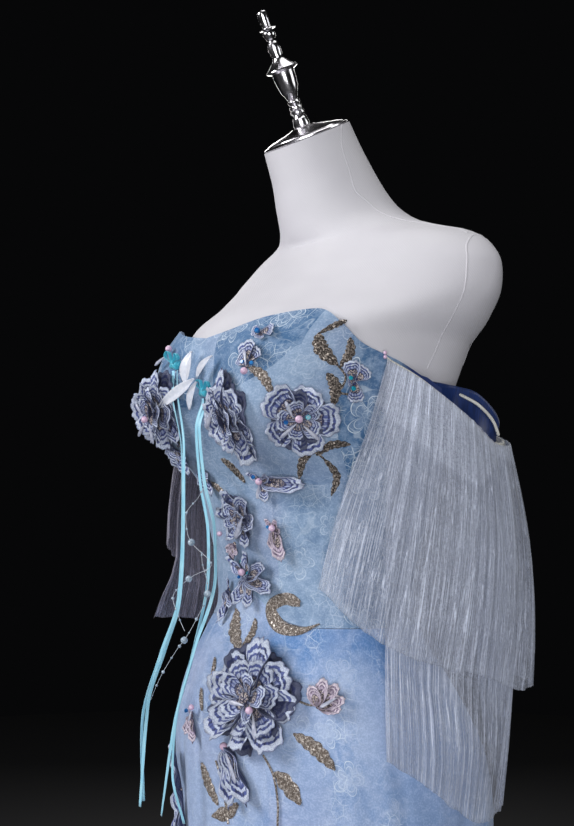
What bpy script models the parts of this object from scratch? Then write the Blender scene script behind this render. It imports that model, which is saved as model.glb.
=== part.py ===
"""A floor-length mermaid gown with pleated off-shoulder sleeves, worn by a limbless dress form on a stand.

Metres, +Z up. The front is -Y, the wearer's left is +X, and the floor is z = 0 under the middle of the base.
Angles round the figure are degrees from the centre front towards the wearer's left.
"""

import bisect
import functools
import math

import bmesh
import bpy
import numpy as np
from mathutils import Matrix, Vector
from mathutils.bvhtree import BVHTree

# Gaps and cloth walls
SEAM_GAP = 0.0004
EASE = 0.004
SEAT_EASE = 0.014
BODICE_WALL = 0.0022
SKIRT_WALL = 0.0018
TULLE_WALL = 0.0010
TRIM_LIFT = 0.0006

# Heights of the gown
KNEE = 0.50
WAIST_SIDE = 1.020
WAIST_RISE = 0.031
UNDERBUST = 1.168
NECKLINE_CENTRE = 1.306

# Round the gown: the panels' seams lie on these columns
COLUMNS = 48
COLUMN = 360 / COLUMNS

# Flutes of the flared hem
FLUTES = 8
FLUTE_DEPTH = 0.030

# The cups
CUP_APEX_X = 0.088
CUP_APEX_HEIGHT = 1.238
CUP_FULLNESS = 0.031
CUP_HALF_WIDTH = 0.051


def table(columns, *rows):
    """A short table, as one tuple for each named column."""
    return dict(zip(columns.split(), zip(*rows)))


# The inside of the gown, from the hem to the top edge
GOWN = table(
    "height centre_y half_width front back",
    (0.008, 0.050, 0.385, 0.345, 0.400),
    (0.110, 0.040, 0.335, 0.300, 0.345),
    (0.220, 0.028, 0.275, 0.240, 0.275),
    (0.330, 0.016, 0.213, 0.183, 0.203),
    (0.420, 0.010, 0.170, 0.140, 0.148),
    (0.500, 0.010, 0.153, 0.122, 0.124),
    (0.570, 0.011, 0.155, 0.121, 0.124),
    (0.660, 0.015, 0.165, 0.122, 0.136),
    (0.750, 0.019, 0.183, 0.135, 0.147),
    (0.830, 0.020, 0.186, 0.138, 0.148),
    (0.880, 0.017, 0.182, 0.138, 0.144),
    (0.920, 0.012, 0.172, 0.134, 0.132),
    (0.960, 0.007, 0.156, 0.122, 0.113),
    (1.005, 0.003, 0.130, 0.100, 0.091),
    (1.035, 0.003, 0.119, 0.086, 0.083),
    (1.070, 0.004, 0.120, 0.088, 0.085),
    (1.110, 0.006, 0.128, 0.098, 0.093),
    (1.160, 0.009, 0.140, 0.113, 0.104),
    (1.185, 0.011, 0.145, 0.126, 0.110),
    (1.210, 0.013, 0.150, 0.139, 0.115),
    (1.240, 0.016, 0.155, 0.149, 0.119),
    (1.270, 0.020, 0.159, 0.155, 0.121),
    (1.300, 0.026, 0.163, 0.160, 0.120),
    (1.340, 0.042, 0.178, 0.152, 0.112),
)

# The top of the form, from the chest to the neck's cap
FORM_TOP = table(
    "height centre_y half_width front back tilt",
    (1.305, 0.030, 0.170, 0.150, 0.114, 0),
    (1.330, 0.047, 0.190, 0.148, 0.108, 0),
    (1.356, 0.068, 0.199, 0.138, 0.092, 0),
    (1.381, 0.078, 0.196, 0.120, 0.073, 0),
    (1.404, 0.081, 0.180, 0.104, 0.060, 1),
    (1.419, 0.079, 0.154, 0.094, 0.055, 3),
    (1.429, 0.070, 0.118, 0.086, 0.054, 7),
    (1.439, 0.056, 0.086, 0.077, 0.055, 12),
    (1.454, 0.041, 0.066, 0.070, 0.056, 17),
    (1.478, 0.024, 0.0565, 0.062, 0.055, 22),
    (1.506, 0.008, 0.0515, 0.053, 0.052, 26),
    (1.534, -0.006, 0.049, 0.049, 0.049, 26),
)


@functools.lru_cache(maxsize=None)
def tangents(xs, ys):
    """The slopes at the points (xs, ys) of a curve that never overshoots them."""
    slopes = [(y1 - y0) / (x1 - x0) for x0, x1, y0, y1 in zip(xs, xs[1:], ys, ys[1:])]
    inner = [2 * a * b / (a + b) if a * b > 0 else 0 for a, b in zip(slopes, slopes[1:])]
    return slopes[:1] + inner + slopes[-1:]


def smooth(xs, ys, x):
    """The smooth curve through the points (xs, ys), read at x."""
    k = min(max(bisect.bisect_left(xs, x) - 1, 0), len(xs) - 2)
    first, last = tangents(xs, ys)[k : k + 2]
    step = xs[k + 1] - xs[k]
    t = min(max((x - xs[k]) / step, 0), 1)
    rise = ys[k] * (1 + 2 * t) * (1 - t) ** 2 + ys[k + 1] * t * t * (3 - 2 * t)
    return rise + step * t * (1 - t) * (first * (1 - t) - last * t)


def read(rows, column, height):
    return smooth(rows["height"], rows[column], height)


def ease_in(x, start, end):
    """0 before start, 1 after end, smooth between them."""
    t = min(max((x - start) / (end - start), 0), 1)
    return t * t * (3 - 2 * t)


def bell(x, width):
    return math.exp(-((x / width) ** 2))


def ring_point(angle, centre_y, half_width, front, back, squareness=2.15):
    """A point of a level section of the figure: (x, y)."""
    a = math.radians(angle)
    s, c = math.sin(a), math.cos(a)
    power = 2 / squareness
    x = half_width * math.copysign(abs(s) ** power, s)
    y = centre_y - math.copysign(abs(c) ** power, c) * (front if c > 0 else back)
    return x, y


def cup(x, height):
    """How far the cups stand forward of the plain chest."""
    rise = ease_in(height, UNDERBUST - 0.012, CUP_APEX_HEIGHT - 0.006)
    fall = 1 - 0.9 * ease_in(height, CUP_APEX_HEIGHT, CUP_APEX_HEIGHT + 0.105)
    return CUP_FULLNESS * rise * fall * bell(abs(x) - CUP_APEX_X, CUP_HALF_WIDTH)


def gown_inside(angle, height):
    """A point of the gown's inner face, before it gets its thickness."""
    size = [read(GOWN, c, height) for c in ("centre_y", "half_width", "front", "back")]
    flare = ease_in(KNEE + 0.02 - height, 0, KNEE)
    flute = FLUTE_DEPTH / 0.36 * flare * math.cos(math.radians(FLUTES * angle))
    size[1:] = [s * (1 + flute) for s in size[1:]]
    x, y = ring_point(angle, *size)
    if math.cos(math.radians(angle)) > 0:
        y -= cup(x, height)
    return Vector((x, y, height))


def gown_point(angle, height, out=0.0):
    """A point of the gown, out metres outside its inner face."""
    point = gown_inside(angle, height)
    across = gown_inside(angle + 1, height) - gown_inside(angle - 1, height)
    up = gown_inside(angle, height + 0.003) - gown_inside(angle, height - 0.003)
    return point + across.cross(up).normalized() * out


def waist_height(angle):
    """The waist seam is level, and rises to a point at the centre front."""
    return WAIST_SIDE + WAIST_RISE * bell(wrapped(angle), 20)


def wrapped(angle):
    """The angle from -180 to 180."""
    return (angle + 180) % 360 - 180


TOP_EDGE = table(
    "angle height",
    (0, NECKLINE_CENTRE),
    (12, 1.311),
    (28, 1.322),
    (42, 1.327),
    (54, 1.313),
    (65, 1.293),
    (78, 1.279),
    (100, 1.255),
    (125, 1.247),
    (150, 1.242),
    (180, 1.240),
)


def top_height(angle):
    return smooth(TOP_EDGE["angle"], TOP_EDGE["height"], abs(wrapped(angle)))


# Materials

COLOURS = {
    "form_cloth": ((0.80, 0.78, 0.81), 0.85, 0.0),
    "chrome": ((0.75, 0.75, 0.77), 0.12, 1.0),
    "bodice_tulle": ((0.42, 0.55, 0.66), 0.7, 0.0),
    "skirt_tulle": ((0.40, 0.54, 0.72), 0.7, 0.0),
    "sleeve_tulle": ((0.68, 0.70, 0.73), 0.75, 0.0),
    "petal_lace": ((0.60, 0.60, 0.80), 0.6, 0.0),
    "leaf_glitter": ((0.32, 0.27, 0.22), 0.45, 0.3),
    "ribbon": ((0.45, 0.78, 0.88), 0.35, 0.0),
}


def material(name):
    found = bpy.data.materials.get(name)
    if found:
        return found
    colour, roughness, metallic = COLOURS[name]
    made = bpy.data.materials.new(name)
    made.use_nodes = True
    shader = made.node_tree.nodes["Principled BSDF"]
    shader.inputs["Base Color"].default_value = (*colour, 1)
    shader.inputs["Roughness"].default_value = roughness
    shader.inputs["Metallic"].default_value = metallic
    return made


def add_object(name, data, material_name):
    made = bpy.data.objects.new(name, data)
    bpy.context.scene.collection.objects.link(made)
    data.materials.append(material(material_name))
    return made


def add_mesh(name, points, faces, material_name):
    """One closed body from points and faces, facing out, shaded smooth but for its edges."""
    bm = bmesh.new()
    verts = [bm.verts.new(p) for p in points]
    for face in faces:
        bm.faces.new([verts[i] for i in face])
    bmesh.ops.recalc_face_normals(bm, faces=bm.faces)
    mesh = bpy.data.meshes.new(name)
    bm.to_mesh(mesh)
    bm.free()
    mesh.shade_smooth()
    mesh.set_sharp_from_angle(angle=math.radians(50))
    return add_object(name, mesh, material_name)


# Walls on a grid

def wall(name, grid, cells, thickness_points, material_name):
    """A closed wall over some cells of a grid.

    grid(i, j, di, dj, side) gives a point: side 0 is the inner face and 1 the outer, and di and dj (-1, 0 or 1)
    point into the panel, so that the grid can draw an edge in by half a seam gap.
    """
    cells = set(cells)
    index, points = {}, []

    def vertex(i, j, side):
        if (i, j, side) not in index:
            around = [(a, b) for a in (-1, 0) for b in (-1, 0) if (i + a, j + b) in cells]
            di = np.sign(sum(2 * a + 1 for a, b in around))
            dj = np.sign(sum(2 * b + 1 for a, b in around))
            index[i, j, side] = len(points)
            points.append(grid(i, j, int(di), int(dj), thickness_points[side]))
        return index[i, j, side]

    faces = []
    for i, j in sorted(cells):
        corners = [(i, j), (i + 1, j), (i + 1, j + 1), (i, j + 1)]
        faces.append([vertex(*c, 1) for c in corners])
        faces.append([vertex(*c, 0) for c in reversed(corners)])
        neighbours = [(i, j - 1), (i + 1, j), (i, j + 1), (i - 1, j)]
        for k, neighbour in enumerate(neighbours):
            if neighbour not in cells:
                a, b = corners[k], corners[(k + 1) % 4]
                faces.append([vertex(*b, 1), vertex(*a, 1), vertex(*a, 0), vertex(*b, 0)])
    return add_mesh(name, points, faces, material_name)


def block(columns, rows):
    return [(i, j) for i in range(*columns) for j in range(*rows)]


def clear_scene():
    for obj in list(bpy.data.objects):
        bpy.data.objects.remove(obj)


# The dress form

FORM_COLUMNS = 32
FORM_LOW = 0.800
FORM_HEIGHTS = (0.800, 0.822, 0.870, 0.920, 0.965, 1.005, 1.035, 1.075, 1.120, 1.160, 1.190, 1.225, 1.260)


def form_ring(height):
    """(centre_y, half_width, front, back, tilt) of the form at a height."""
    if height > FORM_TOP["height"][0] - 1e-6:
        return [read(FORM_TOP, c, height) for c in ("centre_y", "half_width", "front", "back", "tilt")]
    inset = EASE + (SEAT_EASE - EASE) * ease_in(WAIST_SIDE - height, 0, 0.12)
    inset += 0.030 * ease_in(0.825 - height, 0, 0.03)
    size = [read(GOWN, c, height) for c in ("centre_y", "half_width", "front", "back")]
    return [size[0], *(s - inset for s in size[1:]), 0]


def form_point(angle, height):
    centre_y, half_width, front, back, tilt = form_ring(height)
    roundness = 2.15 - 0.33 * ease_in(height, 1.31, 1.36) + 0.18 * ease_in(height, 1.41, 1.45)
    x, y = ring_point(angle, centre_y, half_width, front, back, roundness)
    if math.cos(math.radians(angle)) > 0 and height < FORM_TOP["height"][0]:
        y -= 0.8 * cup(x, height)
    lean = math.radians(tilt)
    along = y - centre_y
    return Vector((x, centre_y + along * math.cos(lean), height + along * math.sin(lean)))


def make_form_torso():
    heights = [*FORM_HEIGHTS, *FORM_TOP["height"]]
    points = [form_point(360 * k / FORM_COLUMNS, h) for h in heights for k in range(FORM_COLUMNS)]
    faces = []
    for r in range(len(heights) - 1):
        for k in range(FORM_COLUMNS):
            a, b = r * FORM_COLUMNS + k, r * FORM_COLUMNS + (k + 1) % FORM_COLUMNS
            faces.append([a, b, b + FORM_COLUMNS, a + FORM_COLUMNS])
    faces.append(list(range(FORM_COLUMNS))[::-1])
    faces.append([(len(heights) - 1) * FORM_COLUMNS + k for k in range(FORM_COLUMNS)])
    add_mesh("form_torso", points, faces, "form_cloth")


def turned(name, profile, sides, material_name, place=Matrix.Identity(4)):
    """A turned solid about its own Z, from (radius, height) points; the ends lie on the axis."""
    points, rings = [], []
    for radius, height in profile:
        if radius < 1e-9:
            rings.append([len(points)])
            points.append(Vector((0, 0, height)))
        else:
            rings.append(list(range(len(points), len(points) + sides)))
            turns = [2 * math.pi * k / sides for k in range(sides)]
            points += [Vector((radius * math.cos(t), radius * math.sin(t), height)) for t in turns]
    faces = []
    for low, high in zip(rings, rings[1:]):
        for k in range(sides):
            n = (k + 1) % sides
            ends = [low[k % len(low)], low[n % len(low)], high[n % len(high)], high[k % len(high)]]
            faces.append(list(dict.fromkeys(ends)))
    return add_mesh(name, [place @ p for p in points], faces, material_name)


NECK_TILT = math.radians(FORM_TOP["tilt"][-1])
NECK_TOP = Vector((0, FORM_TOP["centre_y"][-1], FORM_TOP["height"][-1]))
CAP_RADIUS = 0.0475
CAP_HEIGHT = 0.013
STEM_FOOT = 0.009
BASE_RADIUS = 0.160
BASE_THICK = 0.008
POLE_RADIUS = 0.0125


def make_neck_cap_and_finial():
    place = Matrix.Translation(NECK_TOP) @ Matrix.Rotation(NECK_TILT, 4, "X")
    low = SEAM_GAP
    cap = [(0, low), (CAP_RADIUS, low), (CAP_RADIUS, low + 0.0025), (0.040, 0.0050), (0.024, 0.0085)]
    cap += [(STEM_FOOT + 0.003, CAP_HEIGHT), (0, CAP_HEIGHT)]
    turned("form_neck_cap", cap, 24, "chrome", place)
    foot = CAP_HEIGHT + SEAM_GAP
    finial = [(0, foot), (STEM_FOOT, foot)]
    # The stem's rings
    finial += [(0.0080, 0.022), (0.0052, 0.027), (0.0078, 0.029), (0.0052, 0.032), (0.0072, 0.034)]
    finial += [(0.0050, 0.037), (0.0066, 0.040), (0.0048, 0.043), (0.0068, 0.046)]
    # The vase and its broad rim
    finial += [(0.0105, 0.056), (0.0118, 0.068), (0.0122, 0.073), (0.0172, 0.0755), (0.0165, 0.078)]
    finial += [(0.0100, 0.084), (0.0062, 0.091), (0.0068, 0.097), (0.0064, 0.104), (0.0034, 0.107)]
    # The bead, the disc and the knob
    finial += [(0.0060, 0.110), (0.0068, 0.114), (0.0052, 0.118), (0.0088, 0.1195), (0.0046, 0.122)]
    finial += [(0.0054, 0.125), (0.0056, 0.137), (0.0040, 0.139), (0, 0.139)]
    turned("form_finial", finial, 10, "chrome", place)


def make_stand():
    base = [(0, 0), (BASE_RADIUS, 0), (BASE_RADIUS, BASE_THICK - 0.002), (BASE_RADIUS - 0.004, BASE_THICK)]
    base += [(0.030, BASE_THICK + 0.002), (0.024, BASE_THICK + 0.024), (0, BASE_THICK + 0.024)]
    turned("stand_base", base, 28, "chrome")
    foot = BASE_THICK + 0.024 + SEAM_GAP
    top = FORM_LOW - SEAM_GAP
    pole = [(0, foot), (POLE_RADIUS, foot), (POLE_RADIUS, top - 0.030), (0.024, top - 0.028)]
    pole += [(0.028, top), (0, top)]
    turned("stand_pole", pole, 14, "chrome")


# The bodice

BODICE_ROWS = 9
UNDERBUST_ROW = 4
BAND_ROW = 7
BAND_OUTER = 6
CENTRE_PANEL = 3
CUP_INNER = 1
CUP_OUTER = 8
SIDE_OUTER = 15


BAND_SEAM = table(
    "angle height",
    (0, 1.236),
    (15, 1.240),
    (30, 1.256),
    (38, 1.270),
    (45, 1.292),
    (52, 1.276),
    (60, 1.252),
    (80, 1.235),
    (125, 1.222),
    (180, 1.216),
)


def bodice_height(angle, row):
    """The bodice's rows: the waist, the underbust seam, the seam of the cup's band, and the top edge."""
    seam = smooth(BAND_SEAM["angle"], BAND_SEAM["height"], abs(wrapped(angle)))
    rows = (0, UNDERBUST_ROW, BAND_ROW, BODICE_ROWS)
    return float(np.interp(row, rows, (waist_height(angle), UNDERBUST, seam, top_height(angle))))


def drawn_in(angle, height, di, dj):
    """(angle, height) moved half a seam gap into the panel."""
    x, y, _ = gown_inside(angle, height)
    return angle + di * math.degrees(SEAM_GAP / 2 / math.hypot(x, y)), height + dj * SEAM_GAP / 2


def bodice_grid(i, j, di, dj, out):
    angle = i * COLUMN
    angle, height = drawn_in(angle, bodice_height(angle, j), di, dj)
    return gown_point(angle, height, out)


def make_bodice():
    sides = (0, BODICE_WALL)
    half = COLUMNS // 2
    centre = block((-CENTRE_PANEL, CENTRE_PANEL), (0, UNDERBUST_ROW))
    centre += block((-CUP_INNER, CUP_INNER), (UNDERBUST_ROW, BODICE_ROWS))
    wall("bodice_centre_front", bodice_grid, centre, sides, "bodice_tulle")
    panels = {
        "cup": block((CUP_INNER, CUP_OUTER), (UNDERBUST_ROW, BAND_ROW))
        + block((BAND_OUTER, CUP_OUTER), (BAND_ROW, BODICE_ROWS)),
        "cup_band": block((CUP_INNER, BAND_OUTER), (BAND_ROW, BODICE_ROWS)),
        "side_front": block((CENTRE_PANEL, CUP_OUTER), (0, UNDERBUST_ROW)),
        "side": block((CUP_OUTER, SIDE_OUTER), (0, BODICE_ROWS)),
        "back": block((SIDE_OUTER, half), (0, BODICE_ROWS)),
    }
    for panel, cells in panels.items():
        wall(f"bodice_{panel}_left", bodice_grid, cells, sides, "bodice_tulle")
        mirrored = [(-i - 1, j) for i, j in cells]
        wall(f"bodice_{panel}_right", bodice_grid, mirrored, sides, "bodice_tulle")


# The skirt

SKIRT_HEIGHTS = (0.008, 0.095, 0.190, 0.285, 0.370, 0.450, 0.540, 0.650, 0.760, 0.850, 0.920, 0.975)
GORE_SEAMS = (3, 10, 17, 24)


def skirt_height(angle, row):
    return waist_height(angle) - SEAM_GAP if row == len(SKIRT_HEIGHTS) else SKIRT_HEIGHTS[row]


def skirt_grid(i, j, di, dj, out):
    angle = i * COLUMN
    angle, height = drawn_in(angle, skirt_height(angle, j), di, 0 if j == 0 else dj)
    return gown_point(angle, height, out)


def make_skirt():
    rows = (0, len(SKIRT_HEIGHTS))
    sides = (0, SKIRT_WALL)
    wall("skirt_front", skirt_grid, block((-GORE_SEAMS[0], GORE_SEAMS[0]), rows), sides, "skirt_tulle")
    for name, low, high in zip(("side_front", "side_back", "back"), GORE_SEAMS, GORE_SEAMS[1:]):
        wall(f"skirt_{name}_left", skirt_grid, block((low, high), rows), sides, "skirt_tulle")
        wall(f"skirt_{name}_right", skirt_grid, block((-high, -low), rows), sides, "skirt_tulle")


# The sleeves: two layers of pleated tulle on an elastic band, open along the body

PLEATS = 24
PLEAT_DEPTH_TOP = 0.0012
PLEAT_DEPTH_HEM = 0.0030
SLEEVE_ROWS = 5
BAND_HIGH = 0.009

SLEEVE_TOP = table(
    "u x y z",
    (0.0, 0.160, -0.034, 1.279),
    (0.2, 0.187, -0.010, 1.257),
    (0.4, 0.212, 0.030, 1.219),
    (0.6, 0.214, 0.066, 1.197),
    (0.8, 0.178, 0.106, 1.205),
    (1.0, 0.105, 0.118, 1.236),
)

UPPER_HEM = table(
    "u x y z",
    (0.0, 0.101, -0.070, 1.060),
    (0.15, 0.150, -0.052, 1.022),
    (0.3, 0.192, -0.012, 0.994),
    (0.5, 0.222, 0.034, 0.981),
    (0.7, 0.226, 0.080, 0.966),
    (0.85, 0.180, 0.125, 0.966),
    (1.0, 0.110, 0.132, 0.980),
)

LOWER_HEM = table(
    "u x y z",
    (0.0, 0.168, -0.045, 0.905),
    (0.2, 0.190, -0.022, 0.888),
    (0.4, 0.207, 0.004, 0.862),
    (0.6, 0.212, 0.036, 0.846),
    (0.8, 0.194, 0.078, 0.850),
    (1.0, 0.130, 0.125, 0.885),
)

# The hems of the wearer's right sleeve, mirrored: their front corners spring out, and rise
RIGHT_UPPER_HEM = table(
    "u x y z",
    (0.0, 0.130, -0.097, 1.100),
    (0.15, 0.171, -0.072, 1.087),
    (0.3, 0.199, -0.019, 1.045),
    (0.5, 0.222, 0.034, 1.000),
    (0.7, 0.226, 0.080, 0.968),
    (0.85, 0.180, 0.125, 0.966),
    (1.0, 0.110, 0.132, 0.980),
)

RIGHT_LOWER_HEM = table(
    "u x y z",
    (0.0, 0.150, -0.105, 1.012),
    (0.2, 0.180, -0.057, 1.008),
    (0.4, 0.206, 0.002, 0.990),
    (0.6, 0.212, 0.036, 0.938),
    (0.8, 0.194, 0.078, 0.880),
    (1.0, 0.130, 0.125, 0.885),
)

HEMS = {
    ("upper", 1): UPPER_HEM,
    ("upper", -1): RIGHT_UPPER_HEM,
    ("lower", 1): LOWER_HEM,
    ("lower", -1): RIGHT_LOWER_HEM,
    ("band", 1): UPPER_HEM,
    ("band", -1): UPPER_HEM,
}

# The layers' distances: inside the upper layer at the band, and from the gown at the band and further down
LAYER_INSET = {"upper": 0.0, "lower": 0.0042, "band": 0.0066}
LAYER_CLEAR = {"upper": (0.0070, 0.0150), "lower": (0.0028, 0.0060), "band": (0.0005, 0.0005)}


def along(rows, u):
    return Vector([smooth(rows["u"], rows[c], u) for c in "xyz"])


def clear_of_gown(point, gap):
    """The point, moved out where it is nearer than gap to the gown's outer face."""
    centre = Vector((0, read(GOWN, "centre_y", point.z)))
    flat = Vector((point.x, point.y)) - centre
    turn = math.atan2(flat.x, -flat.y)
    found = []
    for k in range(-5, 6):
        surface = gown_inside(math.degrees(turn) + 3 * k, point.z)
        away = Vector((surface.x, surface.y)) - centre
        found.append((math.atan2(away.x, -away.y), away.length))
    reach = float(np.interp(turn, *zip(*found))) + BODICE_WALL + gap
    if flat.length < reach:
        flat = flat.normalized() * reach
    return Vector((centre.x + flat.x, centre.y + flat.y, point.z))


ARM_AXIS = Vector((0.06, 0.04))


def round_arm(point):
    """(turn, reach) of a point about the sleeve's upright axis."""
    flat = Vector((point.x, point.y)) - ARM_AXIS
    return math.atan2(flat.x, -flat.y), flat.length


def sleeve_line(layer, side, u, v):
    point = along(SLEEVE_TOP, u).lerp(along(HEMS[layer, side], u), v)
    turn, reach = round_arm(point)
    reach += 0.012 * math.sin(math.pi * v)
    return Vector((ARM_AXIS.x + reach * math.sin(turn), ARM_AXIS.y - reach * math.cos(turn), point.z))


def upper_reach(side, point):
    """(reach, how far above its hem) of the upper layer at the height and turn of a point."""
    found = []
    for k in range(25):
        u = k / 24
        top, hem = sleeve_line("upper", side, u, 0), sleeve_line("upper", side, u, 1)
        v = (top.z - point.z) / (top.z - hem.z)
        turn, reach = round_arm(sleeve_line("upper", side, u, min(max(v, 0), 1)))
        found.append((turn, reach, point.z - hem.z))
    turns, reaches, above = zip(*sorted(found))
    turn = round_arm(point)[0]
    return float(np.interp(turn, turns, reaches)), float(np.interp(turn, turns, above))


def sleeve_smooth(layer, side, u, v):
    """A point of a sleeve's layer without its pleats; u runs from front to back, and v from top to hem."""
    point = sleeve_line(layer, side, u, v)
    turn, reach = round_arm(point)
    if layer == "lower":
        most, above = upper_reach(side, point)
        held = ease_in(above, -0.09, -0.01)
        most -= LAYER_INSET["lower"] + 0.0065 * min(2 * v, 1)
        reach += min(most - reach, 0) * held
    elif layer == "band":
        reach -= LAYER_INSET["band"]
    point = Vector((ARM_AXIS.x + reach * math.sin(turn), ARM_AXIS.y - reach * math.cos(turn), point.z))
    near, far = LAYER_CLEAR[layer]
    return clear_of_gown(point, near + (far - near) * ease_in(v, 0, 0.4))


def sleeve_frame(layer, side, u, v):
    """(point, outward normal) of the smooth sleeve."""
    du, dv = 0.02, 0.05
    low, high = max(u - du, 0), min(u + du, 1)
    across = sleeve_smooth(layer, side, high, v) - sleeve_smooth(layer, side, low, v)
    down = sleeve_smooth(layer, side, u, min(v + dv, 1)) - sleeve_smooth(layer, side, u, max(v - dv, 0))
    return sleeve_smooth(layer, side, u, v), down.cross(across).normalized()


def uneven(k, seed):
    """A steady number from 0.6 to 1.4 for each pleat."""
    return 0.6 + 0.8 * ((math.sin(12.9898 * k + 78.233 * seed) * 43758.5453) % 1)


def sleeve_grid(layer, side):
    frames = {}

    def grid(i, j, di, dj, out):
        if (i, j) not in frames:
            frames[i, j] = sleeve_frame(layer, side, i / (2 * PLEATS), j / SLEEVE_ROWS)
        point, normal = frames[i, j]
        depth = PLEAT_DEPTH_TOP + (PLEAT_DEPTH_HEM - PLEAT_DEPTH_TOP) * j / SLEEVE_ROWS
        ridge = depth * uneven(i // 2, 1 + (layer == "upper")) * (1 if i % 2 else -0.4)
        point = point + normal * (ridge + out)
        return Vector((side * point.x, point.y, point.z))

    return grid


def sleeve_band_grid(side):
    def grid(i, j, di, dj, out):
        point, normal = sleeve_frame("band", side, i / 30, 0)
        point = point + normal * out + Vector((0, 0, 0.003 - BAND_HIGH * (1 - j)))
        return Vector((side * point.x, point.y, point.z))

    return grid


def make_sleeves():
    for side, name in ((1, "left"), (-1, "right")):
        cells = block((0, 2 * PLEATS), (0, SLEEVE_ROWS))
        for layer in ("upper", "lower"):
            wall(f"sleeve_{layer}_{name}", sleeve_grid(layer, side), cells, (0, TULLE_WALL), "sleeve_tulle")
        cells = block((0, 30), (0, 1))
        wall(f"sleeve_band_{name}", sleeve_band_grid(side), cells, (0, 0.0012), "sleeve_tulle")


# The appliques: thick embroidered flowers and leaves, laid on the panels

def panel_tree():
    """A tree of the panels' faces."""
    points, faces = [], []
    for obj in bpy.context.scene.objects:
        if obj.name.startswith(("bodice", "skirt")):
            start = len(points)
            faces += [[start + i for i in p.vertices] for p in obj.data.polygons]
            points += [v.co for v in obj.data.vertices]
    return BVHTree.FromPolygons(points, faces)


def laid(name, tree, angle, height, rings, peak, material_name):
    """A closed body on the gown, from rings of (across, up, high) that run inwards from its rim to a peak."""
    centre = gown_point(angle, height)
    normal = (gown_point(angle, height, 0.01) - centre).normalized()
    up = (Vector((0, 0, 1)) - normal * normal.z).normalized()
    across = up.cross(normal)

    def drop(x, y):
        # Two rays side by side, so that a seam's gap hides nothing
        start = centre + across * x + up * y + normal * 0.06
        aside = (across + up) * 0.0006
        hits = [tree.ray_cast(start + aside * side, -normal, 0.12) for side in (-1, 1)]
        return min(hit[3] for hit in hits if hit[3] is not None) - 0.06

    # The rim falls half as far as the panel does, and the body is lifted until its flat base is clear
    drops = [drop(x, y) - drop(0, 0) for x, y, _ in rings[0]]
    falls = [0.5 * max(d, 0) + min(d, 0) for d in drops]
    lift = -drop(0, 0)
    for part in (0.25, 0.5, 0.75, 1.0):
        for fall, (x, y, _) in zip(falls, rings[0]):
            lift = max(lift, fall * part - drop(x * part, y * part))
    lift += TRIM_LIFT

    def place(k, x, y, high):
        reach = math.hypot(x, y) / math.hypot(*rings[0][k][:2])
        return centre + across * x + up * y + normal * (lift + high - falls[k] * reach ** 2)

    sides = len(rings[0])
    points = [place(k, x, y, 0) for k, (x, y, _) in enumerate(rings[0])]
    for ring in rings:
        points += [place(k, x, y, high) for k, (x, y, high) in enumerate(ring)]
    points += [centre + normal * lift, centre + normal * (lift + peak)]
    faces = []
    for k in range(sides):
        n = (k + 1) % sides
        faces.append([len(points) - 2, n, k])
        for r in range(len(rings)):
            faces.append([r * sides + k, r * sides + n, (r + 1) * sides + n, (r + 1) * sides + k])
        faces.append([len(rings) * sides + k, len(rings) * sides + n, len(points) - 1])
    return add_mesh(name, points, faces, material_name)


# Each storey of petals as (radius, height, half a petal's turn)
STOREYS = {
    1: ((1.00, 0.30, 0), (0.42, 0.62, 0), (0.20, 1.00, 0)),
    2: ((1.00, 0.20, 0), (0.68, 0.36, 0), (0.62, 0.74, 1), (0.28, 0.60, 1), (0.15, 1.00, 0)),
    3: (
        (1.00, 0.12, 0),
        (0.74, 0.24, 0),
        (0.78, 0.50, 1),
        (0.46, 0.44, 1),
        (0.48, 0.82, 0),
        (0.20, 0.66, 0),
        (0.12, 1.00, 0),
    ),
}

FLOWERS = table(
    "angle height wide tall thick petals storeys turn",
    (48.4, 1.222, 0.037, 0.037, 0.010, 5, 2, 18),
    (23.3, 1.224, 0.025, 0.045, 0.020, 6, 3, 0),
    (-21.5, 1.236, 0.030, 0.044, 0.026, 6, 3, 10),
    (28.5, 1.290, 0.012, 0.013, 0.006, 5, 1, 0),
    (64.5, 1.250, 0.009, 0.018, 0.0045, 5, 1, 30),
    (25.5, 1.157, 0.029, 0.015, 0.008, 6, 1, 12),
    (3.0, 1.127, 0.030, 0.028, 0.010, 5, 2, 40),
    (23.5, 1.110, 0.009, 0.016, 0.008, 4, 1, 0),
    (3.6, 1.064, 0.034, 0.030, 0.009, 6, 2, 8),
    (18.1, 0.952, 0.052, 0.053, 0.017, 7, 3, 5),
    (50.3, 0.962, 0.018, 0.017, 0.007, 5, 1, 24),
    (8.0, 0.866, 0.018, 0.026, 0.009, 5, 2, 50),
    (-12.2, 0.923, 0.016, 0.017, 0.007, 5, 1, 15),
    (-21.9, 0.842, 0.022, 0.034, 0.010, 6, 1, 30),
)
FLOWER_NAMES = (
    "flower_cup flower_bust_left flower_bust_right flower_neckline flower_cup_side flower_underbust "
    "flower_centre bud_centre flower_star flower_hip flower_hip_side flower_bud_low flower_hip_far "
    "flower_long_petals"
).split()

LEAVES = table(
    "angle height long wide turn",
    (36.5, 1.268, 0.028, 0.012, -40),
    (52.5, 1.288, 0.034, 0.015, 55),
    (57.0, 1.180, 0.030, 0.010, 5),
    (49.0, 1.150, 0.032, 0.011, 80),
    (6.7, 1.174, 0.026, 0.012, -45),
    (35.0, 1.028, 0.052, 0.025, 8),
    (0.5, 1.006, 0.034, 0.017, 78),
    (42.5, 0.909, 0.042, 0.015, -35),
    (31.0, 0.872, 0.032, 0.018, -60),
)
LEAF_NAMES = (
    "leaf_neckline leaf_cup_top leaf_under_cup leaf_side_front leaf_underbust leaf_waist_scroll leaf_waist "
    "leaf_hip leaf_low"
).split()


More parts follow.
